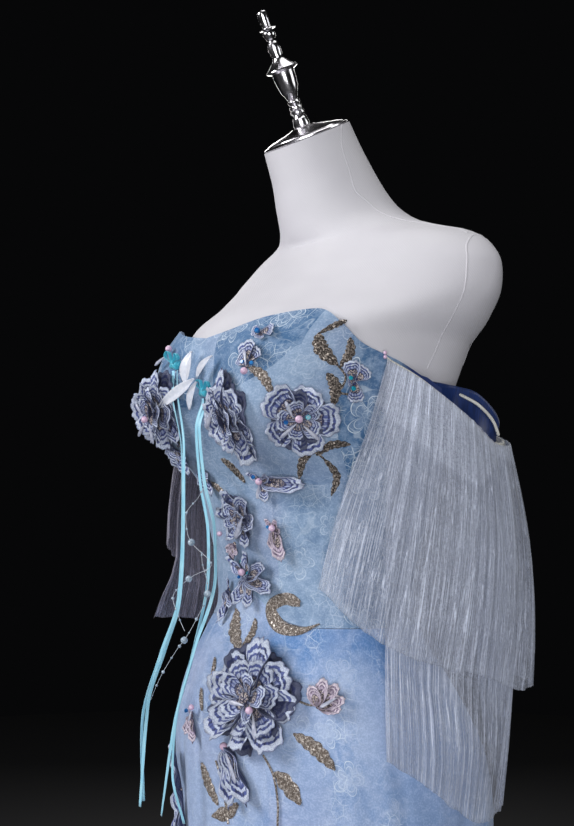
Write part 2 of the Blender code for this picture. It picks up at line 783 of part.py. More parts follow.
def petal_edge(turn, petals, cut):
    """The outline of a ring of petals: 1 at each tip, and 1 - cut between two petals."""
    return 1 - cut * (1 - abs(math.cos(petals * turn / 2)) ** 0.7)


def make_flower(name, tree, angle, height, wide, tall, thick, petals, storeys, turn):
    sides, start = int(4 * petals), math.radians(turn)
    rings = []
    for radius, high, half in STOREYS[int(storeys)]:
        ring = []
        for k in range(sides):
            t = 2 * math.pi * k / sides
            edge = petal_edge(t + half * math.pi / petals, petals, 0.30) * radius
            tip = 0.12 * (edge / radius - 0.7)
            x, y = wide * edge * math.cos(t + start), tall * edge * math.sin(t + start)
            ring.append((x, y, thick * (high + tip)))
        rings.append(ring)
    laid(name, tree, angle, height, rings, thick * 1.04, "petal_lace")


def make_leaf(name, tree, angle, height, long, wide, turn):
    start, ring = math.radians(turn), []
    for k in range(10):
        t = 2 * math.pi * k / 10
        x, y = long / 2 * math.cos(t), wide / 2 * math.sin(t) * (1 - 0.35 * math.cos(t))
        x, y = x * math.cos(start) - y * math.sin(start), x * math.sin(start) + y * math.cos(start)
        ring.append((x, y, 0.0011))
    laid(name, tree, angle, height, [ring], 0.0026, "leaf_glitter")


def make_appliques():
    tree = panel_tree()
    for name, *row in zip(FLOWER_NAMES, *FLOWERS.values()):
        make_flower(name, tree, *row)
    for name, *row in zip(LEAF_NAMES, *LEAVES.values()):
        make_leaf(name, tree, *row)


# The ribbons: four satin tails with free ends, hanging from two knots at the neckline

RIBBON_WIDTH = 0.0034
RIBBON_POINTS = 16

# Each knot's angle and height on the neckline, how far it lies off the cup's smooth face, and its half sizes
KNOTS = {
    "knot_right": (-12.5, 1.2815, 0.0004, (0.0090, 0.0048, 0.0056)),
    "knot_left": (4.2, 1.2520, -0.0002, (0.0095, 0.0048, 0.0058)),
}
KNOT_PROFILE = ((0, -1), (0.62, -0.92), (1, -0.35), (1, 0.35), (0.62, 0.92), (0, 1))

# Each ribbon's knot, how far to the side of its middle it leaves, and its way down from there
RIBBONS = {
    "ribbon_right_outer": ("knot_right", -0.0036, table(
        "height x y",
        (0.836, -0.077, -0.159),
        (0.918, -0.071, -0.164),
        (0.989, -0.050, -0.155),
        (1.043, -0.030, -0.148),
        (1.109, -0.020, -0.149),
        (1.194, -0.016, -0.153),
        (1.244, -0.028, -0.156),
    )),
    "ribbon_right_inner": ("knot_right", 0.0036, table(
        "height x y",
        (0.835, -0.063, -0.171),
        (0.938, -0.053, -0.168),
        (0.994, -0.034, -0.160),
        (1.045, -0.018, -0.153),
        (1.110, -0.008, -0.155),
        (1.194, -0.005, -0.157),
        (1.244, -0.018, -0.156),
    )),
    "ribbon_left_outer": ("knot_left", -0.0038, table(
        "height x y",
        (0.820, -0.030, -0.139),
        (0.868, -0.038, -0.148),
        (0.921, -0.031, -0.149),
        (0.996, -0.007, -0.143),
        (1.072, 0.008, -0.136),
        (1.112, 0.009, -0.137),
        (1.164, 0.006, -0.145),
        (1.218, 0.007, -0.150),
    )),
    "ribbon_left_inner": ("knot_left", 0.0038, table(
        "height x y",
        (0.828, -0.043, -0.158),
        (0.920, -0.020, -0.158),
        (0.996, 0.004, -0.150),
        (1.072, 0.021, -0.136),
        (1.112, 0.021, -0.137),
        (1.165, 0.018, -0.148),
        (1.218, 0.017, -0.153),
    )),
}


def knot_place(name):
    """(centre, half sizes) of a knot, seated on the bodice."""
    angle, height, off, half = KNOTS[name]
    return gown_point(angle, height, BODICE_WALL + off + half[1]), half


def ribbon_route(knot, aside, rows):
    """Points down a ribbon, straight out of its knot and then on to its free end."""
    centre, half = knot_place(knot)
    top = centre + Vector((aside, 0, -half[2] - SEAM_GAP))
    under = top.z - 0.006
    heights, xs, ys = (*rows["height"], under), (*rows["x"], top.x), (*rows["y"], top.y)
    steps = [under + (heights[0] - under) * k / (RIBBON_POINTS - 2) for k in range(RIBBON_POINTS - 1)]
    return [tuple(top)] + [(smooth(heights, xs, h), smooth(heights, ys, h), h) for h in steps]


def make_ribbon(name, route):
    curve = bpy.data.curves.new(name, "CURVE")
    curve.dimensions = "3D"
    curve.bevel_depth = RIBBON_WIDTH / 2
    curve.bevel_resolution = 2
    curve.use_fill_caps = True
    line = curve.splines.new("POLY")
    line.points.add(len(route) - 1)
    for point, place in zip(line.points, route):
        point.co = (*place, 1)
    add_object(name, curve, "ribbon")


def make_ribbons():
    for name, (knot, aside, rows) in RIBBONS.items():
        make_ribbon(name, ribbon_route(knot, aside, rows))
    for name in KNOTS:
        centre, half = knot_place(name)
        turned(name, KNOT_PROFILE, 10, "ribbon", Matrix.Translation(centre) @ Matrix.Diagonal((*half, 1)))


def main():
    clear_scene()
    make_form_torso()
    make_neck_cap_and_finial()
    make_stand()
    make_bodice()
    make_skirt()
    make_sleeves()
    make_appliques()
    make_ribbons()


main()
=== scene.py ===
"""The looks of the mermaid gown: cloth, embroidery, beads, ribbons, dress form, studio and camera.

Metres, +Z up, in the frame of the solids. Angles round the figure are degrees from the centre front
towards the wearer's left. On a sheet of cloth, u runs across it and v along it, both from 0 to 1.
The places of petals, leaves, stems, beads, drops and bead strings, and the routes of the ribbons, were
worked out from points picked in the photograph, seen through the camera below.
"""

import bisect
import functools
import math

import bpy
import numpy as np
from mathutils import Matrix, Vector
from mathutils.bvhtree import BVHTree


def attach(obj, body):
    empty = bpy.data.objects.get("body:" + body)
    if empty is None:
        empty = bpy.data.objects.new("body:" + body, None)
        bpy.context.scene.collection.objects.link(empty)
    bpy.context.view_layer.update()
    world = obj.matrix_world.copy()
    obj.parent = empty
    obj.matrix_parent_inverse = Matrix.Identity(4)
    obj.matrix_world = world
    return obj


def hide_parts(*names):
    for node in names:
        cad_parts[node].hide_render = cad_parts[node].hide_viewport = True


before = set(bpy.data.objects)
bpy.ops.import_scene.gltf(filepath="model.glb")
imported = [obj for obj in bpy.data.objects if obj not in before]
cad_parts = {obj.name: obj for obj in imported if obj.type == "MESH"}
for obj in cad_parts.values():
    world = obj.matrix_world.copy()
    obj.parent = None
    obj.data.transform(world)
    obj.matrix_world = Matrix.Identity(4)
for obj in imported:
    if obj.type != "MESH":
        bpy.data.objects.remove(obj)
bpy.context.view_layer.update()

# Sizes that the solids have too

SEAM_GAP = 0.0004
SEAM_SHOWN = 0.00006
BODICE_WALL = 0.0022
SKIRT_WALL = 0.0018
HEM_HEIGHT = 0.008
KNEE = 0.50
WAIST_SIDE = 1.020
WAIST_RISE = 0.031
UNDERBUST = 1.168
COLUMN = 7.5
FLUTES = 8
FLUTE_DEPTH = 0.030
CUP_APEX_X = 0.088
CUP_APEX_HEIGHT = 1.238
CUP_FULLNESS = 0.031
CUP_HALF_WIDTH = 0.051


def table(columns, *rows):
    """A short table, as one tuple for each named column."""
    return dict(zip(columns.split(), zip(*rows)))


# The inside of the gown, from the hem to the top edge
GOWN = table(
    "height centre_y half_width front back",
    (0.008, 0.050, 0.385, 0.345, 0.400),
    (0.110, 0.040, 0.335, 0.300, 0.345),
    (0.220, 0.028, 0.275, 0.240, 0.275),
    (0.330, 0.016, 0.213, 0.183, 0.203),
    (0.420, 0.010, 0.170, 0.140, 0.148),
    (0.500, 0.010, 0.153, 0.122, 0.124),
    (0.570, 0.011, 0.155, 0.121, 0.124),
    (0.660, 0.015, 0.165, 0.122, 0.136),
    (0.750, 0.019, 0.183, 0.135, 0.147),
    (0.830, 0.020, 0.186, 0.138, 0.148),
    (0.880, 0.017, 0.182, 0.138, 0.144),
    (0.920, 0.012, 0.172, 0.134, 0.132),
    (0.960, 0.007, 0.156, 0.122, 0.113),
    (1.005, 0.003, 0.130, 0.100, 0.091),
    (1.035, 0.003, 0.119, 0.086, 0.083),
    (1.070, 0.004, 0.120, 0.088, 0.085),
    (1.110, 0.006, 0.128, 0.098, 0.093),
    (1.160, 0.009, 0.140, 0.113, 0.104),
    (1.185, 0.011, 0.145, 0.126, 0.110),
    (1.210, 0.013, 0.150, 0.139, 0.115),
    (1.240, 0.016, 0.155, 0.149, 0.119),
    (1.270, 0.020, 0.159, 0.155, 0.121),
    (1.300, 0.026, 0.163, 0.160, 0.120),
    (1.340, 0.042, 0.178, 0.152, 0.112),
)

# The top of the form, from the chest to the neck's cap
FORM_TOP = table(
    "height centre_y half_width front back tilt",
    (1.305, 0.030, 0.170, 0.150, 0.114, 0),
    (1.330, 0.047, 0.190, 0.148, 0.108, 0),
    (1.356, 0.068, 0.199, 0.138, 0.092, 0),
    (1.381, 0.078, 0.196, 0.120, 0.073, 0),
    (1.404, 0.081, 0.180, 0.104, 0.060, 1),
    (1.419, 0.079, 0.154, 0.094, 0.055, 3),
    (1.429, 0.070, 0.118, 0.086, 0.054, 7),
    (1.439, 0.056, 0.086, 0.077, 0.055, 12),
    (1.454, 0.041, 0.066, 0.070, 0.056, 17),
    (1.478, 0.024, 0.0565, 0.062, 0.055, 22),
    (1.506, 0.008, 0.0515, 0.053, 0.052, 26),
    (1.534, -0.006, 0.049, 0.049, 0.049, 26),
)

TOP_EDGE = table(
    "angle height",
    (0, 1.306),
    (12, 1.311),
    (28, 1.322),
    (42, 1.327),
    (54, 1.313),
    (65, 1.293),
    (78, 1.279),
    (100, 1.255),
    (125, 1.247),
    (150, 1.242),
    (180, 1.240),
)

BAND_SEAM = table(
    "angle height",
    (0, 1.236),
    (15, 1.240),
    (30, 1.256),
    (38, 1.270),
    (45, 1.292),
    (52, 1.276),
    (60, 1.252),
    (80, 1.235),
    (125, 1.222),
    (180, 1.216),
)


@functools.lru_cache(maxsize=None)
def tangents(xs, ys):
    """The slopes at the points (xs, ys) of a curve that never overshoots them."""
    slopes = [(y1 - y0) / (x1 - x0) for x0, x1, y0, y1 in zip(xs, xs[1:], ys, ys[1:])]
    inner = [2 * a * b / (a + b) if a * b > 0 else 0 for a, b in zip(slopes, slopes[1:])]
    return slopes[:1] + inner + slopes[-1:]


def smooth(xs, ys, x):
    """The smooth curve through the points (xs, ys), read at x."""
    k = min(max(bisect.bisect_left(xs, x) - 1, 0), len(xs) - 2)
    first, last = tangents(xs, ys)[k : k + 2]
    step = xs[k + 1] - xs[k]
    t = min(max((x - xs[k]) / step, 0), 1)
    rise = ys[k] * (1 + 2 * t) * (1 - t) ** 2 + ys[k + 1] * t * t * (3 - 2 * t)
    return rise + step * t * (1 - t) * (first * (1 - t) - last * t)


def read(rows, column, height):
    return smooth(rows["height"], rows[column], height)


def ease_in(x, start, end):
    """0 before start, 1 after end, smooth between them."""
    t = np.clip((x - start) / (end - start), 0, 1)
    return t * t * (3 - 2 * t)


def bell(x, width):
    return np.exp(-((x / width) ** 2))


def uneven(k, seed):
    """A steady number from 0.6 to 1.4 for each of several like pieces."""
    return 0.6 + 0.8 * ((math.sin(12.9898 * k + 78.233 * seed) * 43758.5453) % 1)


def wrapped(angle):
    """The angle from -180 to 180."""
    return (angle + 180) % 360 - 180


def ring_point(angle, centre_y, half_width, front, back, squareness=2.15):
    """A point of a level section of the figure: (x, y)."""
    a = math.radians(angle)
    s, c = math.sin(a), math.cos(a)
    power = 2 / squareness
    x = half_width * math.copysign(abs(s) ** power, s)
    y = centre_y - math.copysign(abs(c) ** power, c) * (front if c > 0 else back)
    return x, y


def cup(x, height):
    """How far the cups stand forward of the plain chest."""
    rise = ease_in(height, UNDERBUST - 0.012, CUP_APEX_HEIGHT - 0.006)
    fall = 1 - 0.9 * ease_in(height, CUP_APEX_HEIGHT, CUP_APEX_HEIGHT + 0.105)
    return CUP_FULLNESS * rise * fall * bell(abs(x) - CUP_APEX_X, CUP_HALF_WIDTH)


def gown_inside(angle, height):
    """A point of the gown's inner face."""
    size = [read(GOWN, c, height) for c in ("centre_y", "half_width", "front", "back")]
    flare = ease_in(KNEE + 0.02 - height, 0, KNEE)
    flute = FLUTE_DEPTH / 0.36 * flare * math.cos(math.radians(FLUTES * angle))
    size[1:] = [s * (1 + flute) for s in size[1:]]
    x, y = ring_point(angle, *size)
    if math.cos(math.radians(angle)) > 0:
        y -= cup(x, height)
    return Vector((x, y, height))


def gown_frame(angle, height):
    """(point, outward normal) of the gown's inner face."""
    across = gown_inside(angle + 1, height) - gown_inside(angle - 1, height)
    up = gown_inside(angle, height + 0.003) - gown_inside(angle, height - 0.003)
    return gown_inside(angle, height), across.cross(up).normalized()


def gown_point(angle, height, out=0.0):
    point, normal = gown_frame(angle, height)
    return point + normal * out


def waist_height(angle):
    return WAIST_SIDE + WAIST_RISE * bell(wrapped(angle), 20)


def top_height(angle):
    return smooth(TOP_EDGE["angle"], TOP_EDGE["height"], abs(wrapped(angle)))


# Camera, studio

CAMERA_AZIMUTH = math.radians(53.1)
CAMERA_RISE = math.radians(-3.2)
CAMERA_DISTANCE = 1.3
CAMERA_ASIDE = -0.026
CAMERA_HEIGHT = 1.236
CAMERA_LENS = 24 * 1214 / 826


def make_camera():
    right = Vector((math.cos(CAMERA_AZIMUTH), math.sin(CAMERA_AZIMUTH), 0))
    level = Vector((math.sin(CAMERA_AZIMUTH), -math.cos(CAMERA_AZIMUTH), 0))
    back = level * math.cos(CAMERA_RISE) + Vector((0, 0, math.sin(CAMERA_RISE)))
    place = Vector((0, 0, CAMERA_HEIGHT)) + right * CAMERA_ASIDE + back * CAMERA_DISTANCE
    bpy.ops.object.camera_add(location=place, rotation=back.to_track_quat("Z", "Y").to_euler())
    camera = bpy.context.active_object
    camera.data.sensor_width = 24
    camera.data.lens = CAMERA_LENS
    bpy.context.scene.camera = camera


# Each lamp's place, the height that it points at, its side in metres, power in watts, and colour
LAMPS = table(
    "x y z aim side power colour",
    (-0.9, -2.6, 2.5, 1.10, 1.5, 71, (0.98, 0.98, 1.0)),
    (2.3, -1.9, 0.95, 1.00, 1.7, 56, (0.96, 0.97, 1.0)),
    (2.2, 2.0, 2.2, 1.15, 1.4, 11, (0.97, 0.98, 1.0)),
    (-2.4, 1.8, 2.2, 1.10, 1.4, 34, (1.0, 0.98, 0.97)),
    (0.0, 0.0, 3.6, 0.00, 1.6, 20, (1.0, 1.0, 1.0)),
)


def make_studio():
    for x, y, z, aim, side, power, colour in zip(*LAMPS.values()):
        away = Vector((x, y, z - aim))
        turn = away.to_track_quat("Z", "Y").to_euler()
        bpy.ops.object.light_add(type="AREA", location=(x, y, z), rotation=turn)
        lamp = bpy.context.active_object.data
        lamp.shape = "SQUARE"
        lamp.size = side
        lamp.energy = power
        lamp.color = colour
    bpy.ops.mesh.primitive_circle_add(vertices=96, radius=5.0, fill_type="NGON", location=(0, 0, -0.0006))
    floor = bpy.context.active_object
    floor.name = "floor"
    floor.data.materials.append(plain_material("dark_floor", (0.010, 0.010, 0.011), 0.75))
    world = bpy.data.worlds.new("studio")
    world.use_nodes = True
    background = world.node_tree.nodes["Background"]
    background.inputs["Color"].default_value = (0.0035, 0.0036, 0.004, 1)
    background.inputs["Strength"].default_value = 0.6
    bpy.context.scene.world = world
    bpy.context.scene.view_settings.view_transform = "Standard"


# Making and finishing meshes

MERGE = 0.00001


def clear_selection():
    for obj in list(bpy.context.selected_objects):
        obj.select_set(False)


def choose(obj):
    clear_selection()
    obj.select_set(True)
    bpy.context.view_layer.objects.active = obj


def points_of(obj):
    points = np.empty(len(obj.data.vertices) * 3)
    obj.data.vertices.foreach_get("co", points)
    return points.reshape(-1, 3)


def set_points(obj, points):
    obj.data.vertices.foreach_set("co", np.asarray(points, float).ravel())
    obj.data.update()


def set_value(obj, name, values):
    """A value for each point, which a material reads by its name."""
    made = obj.data.attributes.get(name) or obj.data.attributes.new(name, "FLOAT", "POINT")
    spread = np.broadcast_to(np.asarray(values, float), len(obj.data.vertices))
    made.data.foreach_set("value", spread.ravel())


def set_uv(obj, across, along):
    """The sheet's own flat measure, in metres."""
    corners = np.empty(len(obj.data.loops), int)
    obj.data.loops.foreach_get("vertex_index", corners)
    obj.data.uv_layers.active.data.foreach_set("uv", np.column_stack([across, along])[corners].ravel())


def add_grid(name, columns, rows):
    """A flat unit sheet, with the u and v of its points."""
    clear_selection()
    bpy.ops.mesh.primitive_grid_add(x_subdivisions=columns, y_subdivisions=rows, size=1)
    obj = bpy.context.active_object
    obj.name = name
    points = points_of(obj)
    return obj, points[:, 0] + 0.5, points[:, 1] + 0.5


def modify(obj, kind, **settings):
    """Adds a modifier and applies it."""
    choose(obj)
    made = obj.modifiers.new(kind.title(), kind)
    for key, value in settings.items():
        setattr(made, key, value)
    bpy.ops.object.modifier_apply(modifier=made.name)


def thicken(obj, thickness, offset=-1):
    even = {"use_even_offset": True, "use_quality_normals": True}
    modify(obj, "SOLIDIFY", thickness=thickness, offset=offset, **even)


def start_edit(obj):
    """Edit mode, with the whole mesh selected."""
    choose(obj)
    bpy.ops.object.mode_set(mode="EDIT")
    bpy.ops.mesh.select_all(action="SELECT")


def end_edit():
    bpy.ops.object.mode_set(mode="OBJECT")


def close_seam(obj):
    """Merges the points where a sheet meets itself."""
    start_edit(obj)
    bpy.ops.mesh.remove_doubles(threshold=MERGE)
    end_edit()


def delete_faces(obj, doomed):
    """Deletes the faces whose middle doomed(x, y, z) picks."""
    choose(obj)
    bpy.ops.object.mode_set(mode="EDIT")
    bpy.ops.mesh.select_mode(type="FACE")
    bpy.ops.mesh.select_all(action="DESELECT")
    bpy.ops.object.mode_set(mode="OBJECT")
    for face in obj.data.polygons:
        face.select = bool(doomed(*face.center))
    bpy.ops.object.mode_set(mode="EDIT")
    bpy.ops.mesh.delete(type="FACE")
    bpy.ops.object.mode_set(mode="OBJECT")


def join(name, parts):
    clear_selection()
    for part in parts:
        part.select_set(True)
    bpy.context.view_layer.objects.active = parts[0]
    bpy.ops.object.join()
    made = bpy.context.active_object
    made.name = name
    return made


def finish(obj, material, slot, *nodes, sharp=None):
    """Gives a piece its material, and its place among the solids."""
    choose(obj)
    if sharp:
        bpy.ops.object.shade_smooth_by_angle(angle=math.radians(sharp))
    else:
        bpy.ops.object.shade_smooth()
    obj.data.materials.clear()
    obj.data.materials.append(material)
    obj.data.name = obj.name
    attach(obj, "root")
    if nodes:
        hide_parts(*nodes)
    return obj


def copy_of(master, name):
    made = master.copy()
    made.data = master.data.copy()
    made.name = name
    bpy.context.scene.collection.objects.link(made)
    return made


def remove(*masters):
    for master in masters:
        bpy.data.objects.remove(master)


def through(points, t):
    """A smooth line through a few points, read at t from 0 to 1."""
    points = np.asarray(points, float)
    last = len(points) - 1
    k = min(int(t * last), last - 1)
    s = t * last - k
    a, b, c, d = (points[min(max(k + i, 0), last)] for i in (-1, 0, 1, 2))
    square = 2 * a - 5 * b + 4 * c - d
    cube = 3 * b - a - 3 * c + d
    return 0.5 * (2 * b + (c - a) * s + square * s * s + cube * s ** 3)


# Shader nodes

def add_node(tree, kind, links=(), **settings):
    """A node with its settings; links gives its sockets, each a value or another node's output."""
    made = tree.nodes.new("ShaderNode" + kind)
    for key, value in settings.items():
        setattr(made, key, value)
    for socket, value in dict(links).items():
        if isinstance(value, bpy.types.NodeSocket):
            tree.links.new(value, made.inputs[socket])
        else:
            made.inputs[socket].default_value = value
    return made


def maths(tree, operation, a, b=0.0, clamp=False):
    return add_node(tree, "Math", {0: a, 1: b}, operation=operation, use_clamp=clamp).outputs[0]


def vector_maths(tree, operation, a, b=(0, 0, 0)):
    return add_node(tree, "VectorMath", {0: a, 1: b}, operation=operation).outputs[0]


def mix(tree, share, a, b):
    """A colour between a and b."""
    a, b = (x if isinstance(x, bpy.types.NodeSocket) else (*x, 1) for x in (a, b))
    return add_node(tree, "Mix", {0: share, 6: a, 7: b}, data_type="RGBA").outputs[2]


def step(tree, value, low, high, first=0.0, last=1.0):
    """first below low, last above high, and smooth between them."""
    links = {0: value, 1: low, 2: high, 3: first, 4: last}
    return add_node(tree, "MapRange", links, interpolation_type="SMOOTHSTEP").outputs[0]


def noise(tree, place, scale, detail=2.0, roughness=0.5):
    links = {"Vector": place, "Scale": scale, "Detail": detail, "Roughness": roughness}
    return add_node(tree, "TexNoise", links)


def scaled(tree, place, x, y, z=1.0):
    return add_node(tree, "Mapping", {"Vector": place, "Scale": (x, y, z)}).outputs[0]


def attribute(tree, name):
    return add_node(tree, "Attribute", attribute_name=name).outputs["Fac"]


def uv_place(tree):
    return add_node(tree, "UVMap").outputs[0]


def object_place(tree):
    return add_node(tree, "TexCoord").outputs["Object"]


def plain_material(name, colour, roughness, metallic=0.0, **more):
    """A Principled material, with more sockets of its shader by name."""
    made = bpy.data.materials.new(name)
    made.use_nodes = True
    shader = made.node_tree.nodes["Principled BSDF"]
    shader.inputs["Base Color"].default_value = (*colour, 1)
    shader.inputs["Roughness"].default_value = roughness
    shader.inputs["Metallic"].default_value = metallic
    for socket, value in more.items():
        shader.inputs[socket.replace("_", " ")].default_value = value
    return made


def wire(material, **sockets):
    """Links outputs to the sockets of the material's shader."""
    shader = material.node_tree.nodes["Principled BSDF"]
    for socket, output in sockets.items():
        material.node_tree.links.new(output, shader.inputs[socket.replace("_", " ")])


def bump(tree, height, strength, distance):
    links = {"Height": height, "Strength": strength, "Distance": distance}
    return add_node(tree, "Bump", links).outputs[0]


def new_group(name, inputs, outputs):
    """An empty node group, with its input and output nodes."""
    tree = bpy.data.node_groups.new(name, "ShaderNodeTree")
    for label, kind, value in inputs:
        socket = tree.interface.new_socket(label, in_out="INPUT", socket_type="NodeSocket" + kind)
        if value is not None:
            socket.default_value = value
    for label, kind in outputs:
        tree.interface.new_socket(label, in_out="OUTPUT", socket_type="NodeSocket" + kind)
    return tree, tree.nodes.new("NodeGroupInput").outputs, tree.nodes.new("NodeGroupOutput").inputs


def use_group(tree, group, **inputs):
    made = tree.nodes.new("ShaderNodeGroup")
    made.node_tree = group
    for socket, value in inputs.items():
        if isinstance(value, bpy.types.NodeSocket):
            tree.links.new(value, made.inputs[socket])
        else:
            made.inputs[socket].default_value = value
    return made.outputs


def make_lace_group():
    """Lace in fine thread on tulle: sprays of rounded cells, and five-petalled flowers with veins."""
    outputs = [("Lines", "Float"), ("Fill", "Float")]
    tree, given, made = new_group("lace_lines", [("Place", "Vector", None)], outputs)
    place = given["Place"]
    wander = vector_maths(tree, "SUBTRACT", noise(tree, place, 42, 1).outputs["Color"], (0.5, 0.5, 0.5))
    links = {0: wander, 1: (0.006, 0.006, 0), 2: place}
    moved = add_node(tree, "VectorMath", links, operation="MULTIPLY_ADD").outputs[0]
    patch = step(tree, noise(tree, place, 24, 1.5).outputs[0], 0.53, 0.58)
    lines = 0.0
    for scale, width, strength in ((92.0, 0.036, 0.8), (210.0, 0.060, 0.45)):
        flat = {"voronoi_dimensions": "2D", "feature": "DISTANCE_TO_EDGE"}
        cells = add_node(tree, "TexVoronoi", {"Vector": moved, "Scale": scale}, **flat)
        line = step(tree, cells.outputs["Distance"], width * 0.3, width, strength, 0)
        lines = maths(tree, "MAXIMUM", lines, line)
    lines = maths(tree, "MULTIPLY", lines, patch)
    stem = noise(tree, place, 24, 1.0).outputs[0]
    stem = step(tree, maths(tree, "ABSOLUTE", maths(tree, "SUBTRACT", stem, 0.5)), 0.001, 0.005, 0.35, 0)
    lines = maths(tree, "MAXIMUM", lines, stem)
    links = {"Vector": moved, "Scale": 21.0, "Randomness": 0.8}
    cells = add_node(tree, "TexVoronoi", links, voronoi_dimensions="2D")
    away = vector_maths(tree, "SUBTRACT", moved, cells.outputs["Position"])
    parts = add_node(tree, "SeparateXYZ", {0: away}).outputs
    reach = add_node(tree, "VectorMath", {0: away}, operation="LENGTH").outputs["Value"]
    turn = maths(tree, "ARCTAN2", parts[1], parts[0])
    chance = add_node(tree, "SeparateColor", {0: cells.outputs["Color"]}).outputs
    petals = maths(tree, "ABSOLUTE", maths(tree, "COSINE", maths(tree, "MULTIPLY", turn, 2.5)))
    petals = maths(tree, "POWER", petals, 0.55)
    rim = maths(tree, "MULTIPLY", petals, step(tree, chance[0], 0.0, 1.0, 0.010, 0.021))
    rim = maths(tree, "ADD", rim, 0.003)
    there = step(tree, chance[1], 0.38, 0.40)
    for share in (1.0, 0.72, 0.30):
        ring = maths(tree, "SUBTRACT", reach, maths(tree, "MULTIPLY", rim, share))
        ring = step(tree, maths(tree, "ABSOLUTE", ring), 0.0002, 0.0006, share, 0)
        lines = maths(tree, "MAXIMUM", lines, maths(tree, "MULTIPLY", ring, there))
    inside = step(tree, maths(tree, "SUBTRACT", reach, rim), -0.0005, 0.0, 1, 0)
    fill = maths(tree, "MULTIPLY", inside, there)
    vein = maths(tree, "ABSOLUTE", maths(tree, "SINE", maths(tree, "MULTIPLY", turn, 7.5)))
    vein = step(tree, maths(tree, "MULTIPLY", vein, reach), 0.0002, 0.0008, 0.35, 0)
    lines = maths(tree, "MAXIMUM", lines, maths(tree, "MULTIPLY", vein, fill))
    tree.links.new(lines, made["Lines"])
    tree.links.new(fill, made["Fill"])
    return tree


def make_grain_group():
    """The grain of fine net: uneven dots at the size of its holes."""
    inputs = [("Place", "Vector", None), ("Scale", "Float", 700.0)]
    tree, given, made = new_group("net_grain", inputs, [("Grain", "Float")])
    fine = noise(tree, given["Place"], given["Scale"], 2.0, 0.7).outputs[0]
    coarse = noise(tree, given["Place"], maths(tree, "MULTIPLY", given["Scale"], 0.28), 1.0).outputs[0]
    grain = maths(tree, "ADD", maths(tree, "MULTIPLY", fine, 0.7), maths(tree, "MULTIPLY", coarse, 0.3))
    tree.links.new(step(tree, grain, 0.3, 0.7), made["Grain"])
    return tree


def make_stitch_group():
    """Close embroidery stitches: short bright threads with dark gaps, and sparks of metal thread."""
    inputs = [("Place", "Vector", None), ("Scale", "Float", 1500.0)]
    tree, given, made = new_group("stitches", inputs, [("Thread", "Float"), ("Spark", "Float")])
    thread = noise(tree, given["Place"], given["Scale"], 2.0, 0.6).outputs[0]
    cells = add_node(tree, "TexVoronoi", {"Vector": given["Place"], "Scale": given["Scale"]})
    spark = add_node(tree, "SeparateColor", {0: cells.outputs["Color"]}).outputs[0]
    tree.links.new(step(tree, thread, 0.40, 0.60), made["Thread"])
    tree.links.new(step(tree, spark, 0.45, 0.80), made["Spark"])
    return tree


def gown_tulle(name, pale, deep, groups):
    """Blue tulle over silk. It reads "deep" for a deeper blue, "lace" for lines and "navy" for satin."""
    made = plain_material(name, pale, 0.72, Sheen_Weight=0.30, Sheen_Roughness=0.45)
    made.node_tree.nodes["Principled BSDF"].inputs["Sheen Tint"].default_value = (0.80, 0.88, 1.0, 1)
    tree = made.node_tree
    place = uv_place(tree)
    strength = attribute(tree, "lace")
    cloud = step(tree, noise(tree, place, 10, 3).outputs[0], 0.3, 0.7, -0.24, 0.24)
    mottle = step(tree, noise(tree, place, 75, 3, 0.6).outputs[0], 0.3, 0.7, -0.42, 0.42)
    depth = maths(tree, "ADD", attribute(tree, "deep"), cloud)
    depth = maths(tree, "ADD", depth, maths(tree, "MULTIPLY", mottle, strength))
    colour = mix(tree, maths(tree, "ADD", depth, 0.0, clamp=True), pale, deep)
    blush = step(tree, noise(tree, place, 7, 2).outputs[0], 0.45, 0.75, 0.0, 0.45)
    blush = maths(tree, "MULTIPLY", blush, maths(tree, "SUBTRACT", 1.0, attribute(tree, "deep"), clamp=True))
    colour = mix(tree, blush, colour, (0.45, 0.46, 0.68))
    grain = use_group(tree, groups["grain"], Place=place, Scale=560.0)["Grain"]
    colour = mix(tree, step(tree, grain, 0.0, 1.0, 0.24, 0.0), colour, (0.10, 0.16, 0.28))
    colour = mix(tree, step(tree, grain, 0.4, 1.0, 0.0, 0.16), colour, (0.80, 0.86, 0.94))
    lace = use_group(tree, groups["lace"], Place=place)
    fill = maths(tree, "MULTIPLY", maths(tree, "MULTIPLY", lace["Fill"], strength), 0.10)
    colour = mix(tree, fill, colour, (0.66, 0.77, 0.92))
    lines = maths(tree, "MULTIPLY", maths(tree, "MULTIPLY", lace["Lines"], strength), 0.74, clamp=True)
    colour = mix(tree, lines, colour, (0.84, 0.93, 1.0))
    colour = mix(tree, attribute(tree, "navy"), colour, (0.018, 0.045, 0.20))
    height = maths(tree, "ADD", maths(tree, "MULTIPLY", grain, 0.4), lines)
    wire(made, Base_Color=colour, Normal=bump(tree, height, 0.4, 0.0004))
    return made


